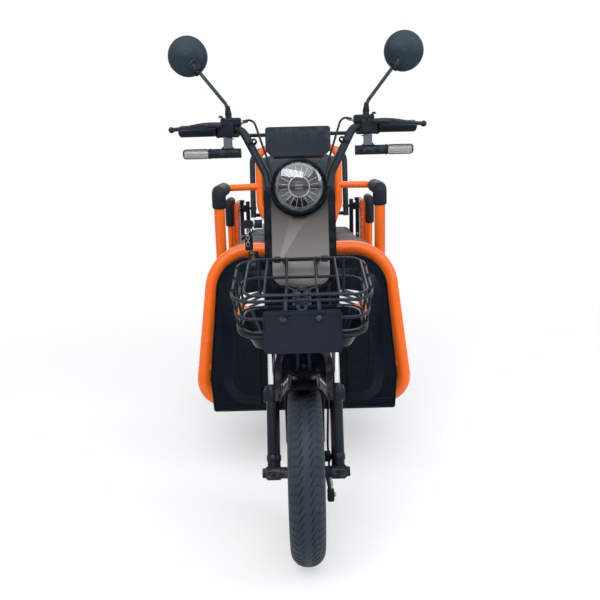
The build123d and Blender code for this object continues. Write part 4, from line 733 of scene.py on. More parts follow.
# ---------------------------------------------------------------- front bench
# The driver's bench is a moulded foam block under dark grained vinyl, with piping round its upper edge
# and three sewn channels. It is stapled to a steel pan that lifts on two hinges.
def vinyl_material(name, colour, cells, creases):
    """Grained vinyl: small raised cells with fine creases, duller where it is worn."""
    made = finish_material(name, colour, (0.36, 0.5), 1400, 0.3, dust=0.10, wear=0.2,
                           worn=(0.11, 0.11, 0.115), patch=9, specular=0.21)
    tree = made.node_tree
    place = tree.nodes.new("ShaderNodeTexCoord")
    grain = add_node(tree, "ShaderNodeTexVoronoi", {"Scale": cells}, feature="DISTANCE_TO_EDGE")
    tree.links.new(place.outputs["Object"], grain.inputs["Vector"])
    raised = add_range(tree, grain.outputs["Distance"], 0.0, 0.16)
    soft = add_range(tree, add_noise(tree, 24.0, 4.0), 0.3, 0.7, 0.0, creases)
    tree.links.new(add_math(tree, "ADD", raised, soft), tree.nodes["relief"].inputs["Height"])
    return made


seat_vinyl = vinyl_material("seat_vinyl", (0.030, 0.031, 0.035), 420, 2.0)
piping_vinyl = vinyl_material("piping_vinyl", (0.022, 0.022, 0.025), 700, 0.5)


def stuffed_pad(name, node, material, body, cap, resting, voxel=0.007):
    """Stuff a pad: the solid's shape a little smaller, remeshed, blown up as cloth and held to a cap.

    resting is the direction in which the pad lies flat on what carries it.
    """
    shape = bmesh.new()
    shape.from_mesh(nodes[node].data)
    bmesh.ops.remove_doubles(shape, verts=shape.verts, dist=0.00005)
    bmesh.ops.recalc_face_normals(shape, faces=shape.faces)
    shape.normal_update()
    for vert in shape.verts:
        vert.co -= vert.normal * 0.004
    pad = piece_from(name, shape, material, body, 180)
    weave = pad.modifiers.new("weave", "REMESH")
    weave.mode = "VOXEL"
    weave.voxel_size = voxel
    weave.use_smooth_shade = True
    settled = bpy.data.meshes.new_from_object(pad.evaluated_get(bpy.context.evaluated_depsgraph_get()))
    pad.modifiers.clear()
    pad.data = settled
    start = [vert.co.copy() for vert in settled.vertices]
    down = Vector(resting)
    depth = [point.dot(down) for point in start]
    lowest = max(depth)
    stuffing = pad.modifiers.new("stuffing", "CLOTH")
    cloth = stuffing.settings
    cloth.quality = 4
    cloth.mass = 0.3
    cloth.tension_stiffness = 25
    cloth.compression_stiffness = 25
    cloth.bending_stiffness = 1.5
    cloth.use_pressure = True
    cloth.uniform_pressure_force = 4
    cloth.effector_weights.gravity = 0
    for count in range(1, 21):
        bpy.context.scene.frame_set(count)
    blown = pad.evaluated_get(bpy.context.evaluated_depsgraph_get())
    moved = [vert.co.copy() for vert in blown.data.vertices]
    pad.modifiers.clear()
    bpy.context.scene.frame_set(1)
    for vert, first, then, reach in zip(settled.vertices, start, moved, depth):
        step = then - first
        if step.length > cap:
            step *= cap / step.length
        free = min(1.0, max(0.0, (lowest - reach) / 0.02))
        vert.co = first + step * free
    finer = pad.modifiers.new("finer", "SUBSURF")
    finer.levels = finer.render_levels = 1
    smooth = bpy.data.meshes.new_from_object(pad.evaluated_get(bpy.context.evaluated_depsgraph_get()))
    pad.modifiers.clear()
    pad.data = smooth
    pad.data.shade_smooth()
    pad.data.materials.clear()
    pad.data.materials.append(material)
    return pad


def sew_channels(pad, facing, lines, deep, wide):
    """Sink sewn channels into the side of a pad that looks along facing.

    Each line is a (point, across) pair: a place on the line and the direction across it.
    """
    outward = Vector(facing)
    for vert in pad.data.vertices:
        look = vert.normal.dot(outward)
        if look < 0.35:
            continue
        for point, across in lines:
            off = abs((vert.co - point).dot(Vector(across)))
            if off < 3 * wide:
                vert.co -= vert.normal * deep * math.exp(-(off / wide) ** 2) * min(1.0, (look - 0.35) * 3)
    pad.data.update()


def skin_loop(pad, centre, first, second, steps=400):
    """Points where a plane through a centre meets the outside of a pad."""
    tree = BVHTree.FromPolygons([vert.co for vert in pad.data.vertices],
                                [face.vertices for face in pad.data.polygons])
    line = []
    for step in range(steps):
        turn = 2 * math.pi * step / steps
        out = Vector(first) * math.cos(turn) + Vector(second) * math.sin(turn)
        hit = tree.ray_cast(Vector(centre) + out * 0.7, -out)[0]
        if hit is not None:
            line.append(hit)
    return line


def even_points(line, count, closed=False):
    """Evenly spaced points on a line, how far along each lies, and the line's whole length."""
    line = line + line[:1] if closed else line
    lengths = [0.0]
    for here, there in zip(line, line[1:]):
        lengths.append(lengths[-1] + (there - here).length)
    placed = []
    spot = 0
    for step in range(count):
        wanted = lengths[-1] * step / (count if closed else count - 1)
        while spot < len(line) - 2 and lengths[spot + 1] < wanted:
            spot += 1
        share = (wanted - lengths[spot]) / max(1e-9, lengths[spot + 1] - lengths[spot])
        placed.append((line[spot].lerp(line[spot + 1], share), wanted))
    return placed, lengths[-1]


def piping(name, pad, centre, first, second, radius, body):
    """A sewn cord that lies on a pad where a plane cuts its skin."""
    placed, _ = even_points(skin_loop(pad, centre, first, second), 110, closed=True)
    cord = wire_piece(name, [[point for point, _ in placed]], radius, piping_vinyl, body, closed=True)
    return cord


bench = stuffed_pad("front_bench", "front_cushion", seat_vinyl, "driver_seat", 0.009, (0, 0, -1))
sew_channels(bench, (0, 0, 1), [(at(x, 0, 0), (1, 0, 0)) for x in (-0.125, 0.0, 0.125)], 0.005, 0.006)
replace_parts(bench, "front_cushion")
low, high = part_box("front_cushion")
piping("front_bench_piping", bench, (0, (low.y + high.y) / 2, high.z - 0.017), (1, 0, 0), (0, 1, 0), 0.0032,
       "driver_seat")
dress(zinc_steel, "seat_hinge")
bolt_set("pan_bolts", [(at(side * 0.12, 0.858, 0.578), (0, 0, -1)) for side in (-1, 1)], 0.004, zinc_steel,
         "driver_seat")

backrest = stuffed_pad("front_back_pad", "front_backrest", seat_vinyl, "chassis", 0.008, (0, 1, 0.09), 0.0055)
low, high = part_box("front_backrest")
middle = (Vector(low) + Vector(high)) / 2
sew_channels(backrest, (0, -1, 0.1), [(Vector((0, 0, middle.z + 0.055)), (0, 0.09, 1)),
                                      (Vector((0, 0, middle.z - 0.045)), (0, 0.09, 1))], 0.005, 0.006)
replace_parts(backrest, "front_backrest")
piping("front_back_piping", backrest, middle + Vector((0, -0.008, 0)), (1, 0, 0), (0, 0.09, 1), 0.003,
       "chassis")


# ---------------------------------------------------------------- foam pads of the armrests
# Closed-cell foam sleeves, cut from tube and pushed over the bends of the orange armrests. Their ends
# are rounded off, and the foam swells a little on the outside of each bend.
foam_black = finish_material("foam_black", (0.0085, 0.0105, 0.015), (0.5, 0.66), 650, 0.35, dust=0.12,
                             patch=18, specular=0.17)


def smooth_path(points):
    """A smooth line through control points, as evenly made points."""
    mesh = curve_mesh(points, 3, 16)
    found = [vert.co.copy() for vert in mesh.vertices]
    bpy.data.meshes.remove(mesh)
    return found


def swept_sleeve(mesh_data, points, radius_at, side, count=70, around=28):
    """Sweep a round section whose radius changes along a line that bends about one side direction."""
    placed, whole = even_points(points, count)
    rings = []
    for index, (point, reach) in enumerate(placed):
        before = placed[max(0, index - 1)][0]
        after = placed[min(count - 1, index + 1)][0]
        forward = (after - before).normalized()
        flank = Vector(side)
        flank = (flank - forward * flank.dot(forward)).normalized()
        rise = forward.cross(flank)
        ring = []
        for step in range(around):
            turn = 2 * math.pi * step / around
            wide, tall = radius_at(reach, whole, turn)
            spot = point + flank * wide * math.cos(turn) + rise * tall * math.sin(turn)
            ring.append(mesh_data.verts.new(spot))
        rings.append(ring)
    skin_rings(mesh_data, rings)
    mesh_data.faces.new(rings[0])
    mesh_data.faces.new(rings[-1])


def sleeve_radius(radius, end):
    """A foam sleeve's radius: full in the middle and rounded over at both ends."""
    def at_reach(reach, whole, turn):
        near = min(reach, whole - reach)
        shape = 1.0 if near >= end else math.sqrt(max(0.0, 1 - (1 - near / end) ** 2))
        size = radius - end * 0.62 * (1 - shape)
        return size, size
    return at_reach


def foam_sleeves(name, node, points, radius, end, joint_name):
    """The pair of foam sleeves over the left and right bends."""
    for side, hand in ((1, "left"), (-1, "right")):
        mesh_data = bmesh.new()
        path = smooth_path([at(side * x, back, up) for x, back, up in points])
        swept_sleeve(mesh_data, path, sleeve_radius(radius, end), (1, 0, 0))
        sleeve = piece_from(f"{name}_{hand}", mesh_data, foam_black, joint_name, 60)
        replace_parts(sleeve, node)


front_arm_x, rear_arm_x = 0.283, 0.288
foam_sleeves("front_foam", "front_arm_pads",
             [(front_arm_x, 0.923, 0.7765), (front_arm_x, 0.923, 0.800), (front_arm_x, 0.923, 0.826),
              (front_arm_x, 0.931, 0.834), (front_arm_x, 0.963, 0.834), (front_arm_x, 1.02, 0.834),
              (front_arm_x, 1.1135, 0.834)], 0.0247, 0.010, "chassis")
foam_sleeves("rear_foam", "rear_arm_pads",
             [(rear_arm_x, 1.335, 0.6685), (rear_arm_x, 1.335, 0.70), (rear_arm_x, 1.335, 0.745),
              (rear_arm_x, 1.340, 0.7635), (rear_arm_x, 1.36, 0.764), (rear_arm_x, 1.395, 0.764),
              (rear_arm_x, 1.4335, 0.764)], 0.0177, 0.007, "chassis")


# ---------------------------------------------------------------- armrest tubes
# The armrests are bent tube on welded side rails. Each joint has its bead, and bolts with washers hold
# the side rails to the seat frame.
weld_beads("armrest_welds", [
    *[(at(side * front_arm_x, 0.923, 0.5745), (0, 0, 1), 0.019) for side in (-1, 1)],
    *[(at(side * front_arm_x, 1.183, 0.557), (0, 1, 0), 0.012) for side in (-1, 1)],
    *[(at(side * rear_arm_x, 1.335, 0.5695), (0, 0, 1), 0.011) for side in (-1, 1)],
    *[(at(side * rear_arm_x, 1.49, 0.5695), (0, 0, 1), 0.011) for side in (-1, 1)]], orange_paint, "chassis")
bolt_set("side_rail_bolts", [(at(side * x, back, 0.569), (0, 0, 1)) for side in (-1, 1)
                             for x, back in ((front_arm_x, 0.885), (front_arm_x, 1.12), (rear_arm_x, 1.285))],
         0.0048, frame_black, "chassis")


# ---------------------------------------------------------------- rear bench
# The passengers' bench is made as the front one is. Its backrest folds forward on two pins, held by
# clamps with knobs on double posts.
rear_bench = stuffed_pad("rear_bench", "rear_cushion", seat_vinyl, "chassis", 0.009, (0, 0, -1))
sew_channels(rear_bench, (0, 0, 1), [(at(x, 0, 0), (1, 0, 0)) for x in (-0.11, 0.0, 0.11)], 0.005, 0.006)
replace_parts(rear_bench, "rear_cushion")
low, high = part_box("rear_cushion")
piping("rear_bench_piping", rear_bench, (0, (low.y + high.y) / 2, high.z - 0.017), (1, 0, 0), (0, 1, 0),
       0.0032, "chassis")

rear_pad = stuffed_pad("rear_back_pad", "rear_backrest", seat_vinyl, "rear_back", 0.008, (0, 1, 0.24), 0.006)
low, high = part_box("rear_backrest")
middle = (Vector(low) + Vector(high)) / 2
sew_channels(rear_pad, (0, -1, 0.24), [(Vector((x, 0, 0)), (1, 0, 0)) for x in (-0.062, 0.062)], 0.005, 0.006)
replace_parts(rear_pad, "rear_backrest")
piping("rear_back_piping", rear_pad, middle + Vector((0, -0.006, 0)), (1, 0, 0), (0, 0.29, 1), 0.003,
       "rear_back")
knobs = bmesh.new()
for side in (-1, 1):
    lathe(knobs,
          [(0, 0), (0.011, 0), (0.011, 0.004), (0.0145, 0.007), (0.0155, 0.012), (0.0135, 0.016),
           (0, 0.0175)], facing_way(at(side * 0.248, 1.54, 0.722), (side, 0, 0)), 12)
piece_from("backrest_knobs", knobs, body_black, "chassis")
bolt_set("post_bolts", [(at(side * x, 1.531, 0.60), (0, -1, 0)) for side in (-1, 1) for x in (0.227, 0.254)],
         0.004, zinc_steel, "chassis")


# ---------------------------------------------------------------- side guards
# Ribbed panels of glossy orange plastic beside the rear bench, screwed to the armrest's side rails.
orange_plastic = finish_material("orange_plastic", (0.80, 0.12, 0.007), (0.24, 0.36), 1100, 0.12, dust=0.10,
                                 wear=0.15, worn=(0.9, 0.3, 0.1), spread=0.06)
dress(orange_plastic, "side_guards")
bolt_set("guard_screws",
         [(at(side * 0.271, back, 0.70), (side, 0, 0)) for side in (-1, 1) for back in (1.352, 1.459)], 0.004,
         frame_black, "chassis", True)


# ---------------------------------------------------------------- fork
# Telescopic fork: hard-chromed stanchions slide in painted legs through seal cups with clamp ears. An
# arch ties the legs together over the wheel, and the axle is nutted in the lugs.
chrome = finish_material("chrome", (0.78, 0.78, 0.80), (0.05, 0.12), 500, 0.02, metal=1.0, dust=0.03,
                         spread=0.04)
fork_black = finish_material("fork_black", (0.0042, 0.0055, 0.0085), (0.22, 0.34), 900, 0.08, wear=0.35,
                             dust=0.10, worn=(0.12, 0.11, 0.10), specular=0.21)
dress(chrome, "stanchions")
dress(fork_black, "fork_legs", "fork_yokes", "front_axle", "wheel_spacer")
rake = math.radians(22)
fork_up = Vector((0, math.sin(rake), math.cos(rake)))
fork_fore = Vector((0, -math.cos(rake), math.sin(rake)))
leg_x = 0.078


def on_fork(x, along_axis, ahead):
    """A place by the fork: across, up its slope from the wheel axle and out in front of its legs."""
    return at(x, 0, 0) + Vector((0, 0, front_hub.z)) + fork_up * along_axis + fork_fore * ahead


cup_low, cup_high = 0.173, 0.209
cups = bmesh.new()
for side in (-1, 1):
    place = facing_way(on_fork(side * leg_x, 0, 0), fork_up)
    lathe(cups,
          [(0.0165, cup_low - 0.004), (0.0195, cup_low), (0.0205, cup_low + 0.003),
           (0.0205, cup_high - 0.004), (0.0190, cup_high), (0.0150, cup_high + 0.001),
           (0.0130, cup_high + 0.004), (0.0112, cup_high + 0.005)], place, 36)
    lathe(cups, [(0.0165, 0.028), (0.0180, 0.030), (0.0180, 0.040), (0.0165, 0.044)], place, 36)
piece_from("seal_cups", cups, fork_black, "steering")
ears = bmesh.new()
for side in (-1, 1):
    for tilt in (-0.5, 1):
        out = Vector((side * tilt, 0, 0)).normalized()
        panel(ears, panel_place(on_fork(side * leg_x, cup_low + 0.012, 0) + out * 0.0165, out, fork_up),
              0.022, 0.028, 0.006, 0.005, 0.0015)
piece_from("clamp_ears", ears, fork_black, "steering")
bolt_set("arch_bolts", [(on_fork(side * leg_x, cup_low - 0.009, 0.0165), fork_fore) for side in (-1, 1)],
         0.0042, frame_black, "steering", True)
bolt_set("pinch_bolts", [(on_fork(side * leg_x, 0.0, 0.0192), fork_fore) for side in (-1, 1)], 0.0038,
         frame_black, "steering", True)
bolt_set("yoke_bolts", [(on_fork(side * leg_x, 0.339, 0.0305), fork_fore) for side in (-1, 1)], 0.0045,
         frame_black, "steering", True)
axle_caps = bmesh.new()
for side in (-1, 1):
    lathe(axle_caps,
          [(0, 0.0), (0.0125, 0.0), (0.0150, 0.001), (0.0150, 0.004), (0.0118, 0.005), (0.0118, 0.011),
           (0.0100, 0.0125), (0, 0.0125)], facing_way(at(side * 0.0935, 0, front_hub.z), (side, 0, 0)), 6)
piece_from("axle_caps", axle_caps, frame_black, "steering")
weld_beads("arch_welds", [(on_fork(side * 0.0625, 0.185, 0.020), (side, 0, 0.3), 0.0085) for side in (-1, 1)],
           fork_black, "steering")


# ---------------------------------------------------------------- front mudguard
# Moulded glossy black plastic with a rolled edge and a raised middle, hung from the arch by a strap
# with one screw.
dress(gloss_black, "front_fender")
guard_r = 0.250
rolled_rim = wire_piece("front_fender_bead",
                        [arc_about(side * 0.0512, 0, axle_up, guard_r - 0.0255, -5, 107, 26)
                         for side in (-1, 1)], 0.0019, gloss_black, "steering")
lip_turn = math.radians(108)


def fender_lip(x, reach):
    """A place on the mudguard's front edge at a radius from the axle."""
    return at(x, reach * math.cos(lip_turn), axle_up + reach * math.sin(lip_turn))


lip = wire_piece("front_fender_lip",
                 [[fender_lip(-0.0515, guard_r - 0.0255), fender_lip(-0.045, guard_r - 0.012),
                   fender_lip(-0.0365, guard_r + 0.0015), fender_lip(-0.029, guard_r + 0.0035),
                   fender_lip(0, guard_r + 0.0037), fender_lip(0.029, guard_r + 0.0035),
                   fender_lip(0.0365, guard_r + 0.0015), fender_lip(0.045, guard_r - 0.012),
                   fender_lip(0.0515, guard_r - 0.0255)]], 0.0019, gloss_black, "steering")
creases = wire_piece("front_fender_creases",
                     [arc_about(side * 0.0355, 0, axle_up, guard_r + 0.0034, 0, 106, 26) for side in (-1, 1)],
                     0.0010, gloss_black, "steering")
bolt_set("fender_bolt", [(on_fork(0, 0.256, 0.0272), fork_fore)], 0.0036, frame_black, "steering")


# ---------------------------------------------------------------- wheels
# Cast aluminium wheels with five spokes, painted orange like the frame tubes, with a turned lip beside
# each bead, a rubber valve and a bearing cover in the hub.
dress(orange_paint, "front_wheel", "rear_wheel_left", "rear_wheel_right")


def wheel_trim(name, node, hub_half, body):
    """The rim lips, bearing covers and valve of one wheel."""
    low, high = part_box(node)
    hub = (low + high) / 2
    across_out = facing_way(hub, (1, 0, 0))
    lips = bmesh.new()
    for side in (-1, 1):
        edge = side * 0.0254
        lathe(lips,
              [(0.1225, edge - side * 0.006), (0.1225, edge), (0.1240, edge + side * 0.0022),
               (0.1365, edge + side * 0.0030), (0.1392, edge + side * 0.0018), (0.1392, edge - side * 0.002),
               (0.1370, edge - side * 0.006)], across_out, 96)
    piece_from(f"{name}_lips", lips, orange_paint, body)
    covers = bmesh.new()
    for side in (-1, 1):
        face = side * hub_half
        lathe(covers,
              [(0.0235, face - side * 0.001), (0.0235, face + side * 0.0012), (0.0215, face + side * 0.0022),
               (0.0135, face + side * 0.0016), (0.0125, face - side * 0.001)], across_out, 40)
    piece_from(f"{name}_bearings", covers, zinc_steel, body)
    valve = bmesh.new()
    stem = Matrix.Translation(hub) @ Matrix.Rotation(math.radians(216), 4, "X")
    stem = stem @ Matrix.Translation((0, 0, 0.0925))
    lathe(valve,
          [(0, 0), (0.0026, 0.0005), (0.0026, 0.008), (0.0019, 0.009), (0.0030, 0.012), (0.0044, 0.026),
           (0.0052, 0.0312), (0, 0.0312)], stem, 16)
    piece_from(f"{name}_valve", valve, tyre_rubber, body)


# ---------------------------------------------------------------- tyres
# The tyres are black rubber, moulded with S-shaped sipes on both sides of a smooth middle rib, with
# rings on the walls, and they carry settled dust where they face up.
tyre_rubber = finish_material("tyre_rubber", (0.017, 0.022, 0.030), (0.48, 0.66), 700, 0.25, dust=0.16,
                              specular=0.2)
for name, node, hub_half, body in (("front_rim", "front_wheel", 0.027, "front_roller"),
                                   ("left_rim", "rear_wheel_left", 0.036, "left_roller"),
                                   ("right_rim", "rear_wheel_right", 0.036, "right_roller")):
    wheel_trim(name, node, hub_half, body)
tyre_sipes = 66
sipe_depth = 0.0030
tyre_around = 792


def sipe_cut(turn, across):
    """How deep the tread is cut, 0 to 1, at a place around the tyre and across its half width."""
    side = 1 if across > 0 else -1
    reach = abs(across)
    if reach < 0.15 or reach > 0.93:
        return 0.0
    phase = turn * tyre_sipes + (0.5 if side > 0 else 0.0)
    bend = 1.55 * (reach - 0.5) + 0.34 * math.sin((reach - 0.30) * 9.0)
    far = abs((phase + side * bend) % 1.0 - 0.5)
    cut = max(0.0, 1.0 - far / 0.17)
    if 0.34 < reach < 0.62:
        hook = abs((phase + side * (bend - 0.9 * (reach - 0.34))) % 1.0 - 0.5)
        cut = max(cut, 1.0 - hook / 0.12)
    fade = min(1.0, (reach - 0.15) / 0.06, (0.93 - reach) / 0.08)
    return min(1.0, cut * 1.7) * fade


def road_tyre(name, node, body):
    """A tyre ring swept around its hub, its tread cut with sipes."""
    low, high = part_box(node)
    hub = (low + high) / 2
    outer = (high.z - low.z) / 2
    half = (high.x - low.x) / 2
    bead_r = outer - 0.079
    profile = [(-0.60, bead_r - 0.001), (-0.80, bead_r + 0.004), (-0.93, bead_r + 0.014),
               (-0.985, bead_r + 0.026), (-1.0, bead_r + 0.036), (-1.0, bead_r + 0.042)]
    crown = 44
    for step in range(crown + 1):
        across = -0.995 + 1.99 * step / crown
        profile.append((across, outer - 0.037 * (1 - math.sqrt(max(0.0, 1 - abs(across) ** 2.15)))))
    profile += [(1.0, bead_r + 0.042), (1.0, bead_r + 0.036), (0.985, bead_r + 0.026), (0.93, bead_r + 0.014),
                (0.80, bead_r + 0.004), (0.60, bead_r - 0.001)]
    mesh_data = bmesh.new()
    rings = []
    for index in range(tyre_around):
        angle = 2 * math.pi * index / tyre_around
        ring = []
        for across, reach in profile:
            radius = reach
            if reach > outer - 0.036:
                radius -= sipe_depth * sipe_cut(index / tyre_around, across)
            ring.append(mesh_data.verts.new((hub.x + across * half, hub.y + radius * math.cos(angle),
                                             hub.z + radius * math.sin(angle))))
        rings.append(ring)
    skin_rings(mesh_data, rings + rings[:1])
    for side in (-1, 1):
        for ring_r in (bead_r + 0.022, bead_r + 0.030):
            reach = 0.968 if ring_r < bead_r + 0.026 else 0.992
            place = facing_way(Vector((hub.x + side * reach * half, hub.y, hub.z)), (1, 0, 0))
            lathe(mesh_data,
                  [(ring_r - 0.0012, -side * 0.001), (ring_r, side * 0.0008),
                   (ring_r + 0.0012, -side * 0.001)], place, 160)
    tyre = piece_from(name, mesh_data, tyre_rubber, body, 32)
    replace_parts(tyre, node)


road_tyre("road_tyre_front", "front_tyre", "front_roller")
road_tyre("road_tyre_left", "rear_tyre_left", "left_roller")
road_tyre("road_tyre_right", "rear_tyre_right", "right_roller")


# ---------------------------------------------------------------- front brake
# A drum brake with a cast back plate, a torque anchor and a lever arm that the cable pulls. The cable
# ends in a threaded barrel with two lock nuts, and a coil spring sends the arm back.
brake_bits = bmesh.new()
lathe(brake_bits, [(0, 0), (0.0055, 0), (0.0055, 0.012), (0.0035, 0.013), (0.0035, 0.030), (0, 0.030)],
      facing_way(at(0.061, 0.072, 0.130), (0, 0.05, 1)), 12)
for height in (0.006, 0.012):
    lathe(brake_bits, [(0, height), (0.0065, height), (0.0065, height + 0.004), (0, height + 0.004)],
          facing_way(at(0.061, 0.072, 0.136), (0, 0.05, 1)), 6)
piece_from("brake_adjuster", brake_bits, zinc_steel, "steering")
coil = [at(0.061 + 0.0048 * math.cos(turn * 0.75), 0.0765 + 0.0048 * math.sin(turn * 0.75),
           0.139 + 0.0006 * turn) for turn in range(72)]
wire_piece("brake_spring", [coil], 0.0009, zinc_steel, "steering", sides=6)
bolt_set("brake_bolts", [(at(0.059, 0.020, 0.200), (1, 0, 0)), (at(0.0705, 0.066, 0.120), (1, 0, 0)),
                         (at(0.0605, 0.036, 0.240), (1, 0, 0))], 0.0042, zinc_steel, "steering")


# ---------------------------------------------------------------- handlebar
# A high-rise bar of bent steel tube with a thin brace, painted satin black, and the mirrors' stems of
# bare dark steel.
dress(frame_black, "handlebar")
stem_steel = finish_material("stem_steel", (0.030, 0.038, 0.048), (0.22, 0.3), 800, 0.08, dust=0.04, coat=0.3,
                             specular=0.3)
dress(stem_steel, "mirror_stems")
bar_up = 1.036
weld_beads("brace_welds", [(at(side * 0.1335, 0.374, bar_up - 0.016), (1, 0, 0), 0.005) for side in (-1, 1)],
           frame_black, "steering")


# ---------------------------------------------------------------- grips
# Soft black rubber grips, moulded with ribs along the palm, a flange inside and a closed dome outside.
grip_rubber = finish_material("grip_rubber", (0.007, 0.009, 0.013), (0.5, 0.64), 900, 0.3, dust=0.12,
                              specular=0.18)
grip_root = at(0.200, 0.404, bar_up)
grip_tip = at(0.324, 0.452, bar_up)
grip_way = (grip_tip - grip_root).normalized()
grip_profile = [(0.0112, -0.1165), (0.0195, -0.1165), (0.0208, -0.1150), (0.0208, -0.1125), (0.0195, -0.1110),
                (0.0162, -0.1098)]
for step in range(22):
    start = -0.108 + 0.0048 * step
    grip_profile += [(0.0161, start), (0.0161, start + 0.0026), (0.0150, start + 0.0032),
                     (0.0150, start + 0.0042)]
grip_profile += [(0.0161, -0.0015), (0.0161, 0.0015), (0.0150, 0.0036), (0.0120, 0.0048), (0, 0.0050)]
for side, hand in ((1, "left"), (-1, "right")):
    grip = bmesh.new()
    place = facing_way((side * grip_tip.x, grip_tip.y, grip_tip.z),
                       (side * grip_way.x, grip_way.y, grip_way.z))
    lathe(grip, grip_profile, place, 48)
    piece = piece_from(f"grip_{hand}", grip, grip_rubber, "steering", 30)
    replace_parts(piece, "grips")


# ---------------------------------------------------------------- levers and switches
# Cast brake levers with ball ends pivot in perches clamped to the bar. Inside each grip sits a
# two-part moulded switch pod with a rocker, a slider and a push button.
lever_black = finish_material("lever_black", (0.013, 0.014, 0.016), (0.28, 0.4), 800, 0.12, wear=0.35,
                              dust=0.06, worn=(0.16, 0.16, 0.16), specular=0.21)
dress(lever_black, "brake_levers")
dress(body_black, "switch_housings")


def blade_size(reach, whole, turn):
    """The blade is broad and flat in its middle and thin at both ends."""
    share = reach / whole
    swell = 0.0022 * math.sin(math.pi * min(1.0, share * 1.3))
    return 0.0050 - 0.0008 * share, 0.0068 + swell - 0.0022 * share


blades = bmesh.new()
for side in (-1, 1):
    blade = [at(side * x, back, up)
             for x, back, up in ((0.206, 0.380, 1.050), (0.228, 0.369, 1.0495), (0.250, 0.364, 1.048),
                                 (0.290, 0.3785, 1.0445), (0.335, 0.3955, 1.0405))]
    swept_sleeve(blades, smooth_path(blade), blade_size, (0.35 * side, 0.94, 0), 40, 16)
piece_from("lever_blades", blades, lever_black, "steering", 50)
bolt_set("lever_pivots", [(at(side * 0.206, 0.3790, 1.0678), (0, 0, 1)) for side in (-1, 1)], 0.0052,
         lever_black, "steering", True)
bolt_set("perch_bolts",
         [(at(side * x, 0.3768, 1.054), (0, -1, 0)) for side in (-1, 1) for x in (0.163, 0.190)], 0.0034,
         lever_black, "steering", True)
pod_turn = Vector((grip_way.x, grip_way.y, 0))
switch_grey = finish_material("switch_grey", (0.05, 0.052, 0.056), (0.4, 0.5), 900, 0.2, dust=0.05,
                              specular=0.2)
switch_bright = finish_material("switch_bright", (0.32, 0.012, 0.012), (0.32, 0.42), 900, 0.1, dust=0.05,
                                specular=0.2)
switches = bmesh.new()
buttons = bmesh.new()
pod_seams = bmesh.new()
for side in (-1, 1):
    middle = at(side * 0.1885, 0.3995, bar_up)
    flat = Vector((side * pod_turn.x, pod_turn.y, 0))
    rider = Vector((-flat.y * side, flat.x * side, 0)).normalized()
    rider = rider if rider.y > 0 else -rider
    for along_pod, rise, wide, tall in ((-0.010, 0.012, 0.014, 0.009), (0.006, 0.010, 0.010, 0.014),
                                        (-0.004, -0.010, 0.016, 0.008)):
        panel(switches, panel_place(middle + flat * along_pod + rider * 0.0196 + Vector((0, 0, rise)), rider),
              wide, tall, 0.0045, 0.002, 0.001)
    lathe(buttons, [(0, 0), (0.0055, 0), (0.0055, 0.004), (0.0045, 0.0052), (0, 0.0052)],
          facing_way(middle + flat * 0.010 + rider * 0.0196 + Vector((0, 0, -0.010)), rider), 24)
    for facing in (Vector((0, 0, 1)), Vector((0, 0, -1))):
        panel(pod_seams, panel_place(middle - flat * 0.001 + facing * 0.0229, facing, flat), 0.003, 0.034,
              0.0012, 0.001, 0.0005)
piece_from("switches", switches, switch_grey, "steering")
piece_from("push_buttons", buttons, switch_bright, "steering")
piece_from("pod_seams", pod_seams, body_black, "steering")
bolt_set("pod_screws",
         [(at(side * x, back, 1.0135), (0, 0, -1)) for side in (-1, 1)
          for x, back in ((0.178, 0.3955), (0.199, 0.4035))], 0.0028, lever_black, "steering", True)


# ---------------------------------------------------------------- brake cables
# Steel cables in black plastic sleeves, each held in the perch by a threaded barrel with a rubber boot
# and tied to the bar by a clip.
cable_black = finish_material("cable_black", (0.009, 0.009, 0.010), (0.3, 0.4), 1200, 0.1, dust=0.08,
                              specular=0.2)
dress(cable_black, "brake_cables")
barrels = bmesh.new()
for side in (-1, 1):
    place = facing_way(at(side * 0.1555, 0.3885, 1.0560), (-side, -0.32, 0.05))
    lathe(barrels,
          [(0.0062, -0.003), (0.0062, 0.005), (0.0050, 0.006), (0.0050, 0.012), (0.0042, 0.013),
           (0.0042, 0.020), (0.0031, 0.022)], place, 12)
piece_from("cable_barrels", barrels, zinc_steel, "steering")
clips = bmesh.new()
for side in (-1, 1):
    way = Vector((side * 0.064, 0.060, 0.081)).normalized()
    place = facing_way(at(side * 0.1216, 0.3520, 1.0005), way)
    lathe(clips, [(0.0112, -0.0035), (0.0130, -0.0035), (0.0135, 0.0), (0.0130, 0.0035), (0.0112, 0.0035)],
          place, 32)
piece_from("cable_clips", clips, cable_black, "steering")


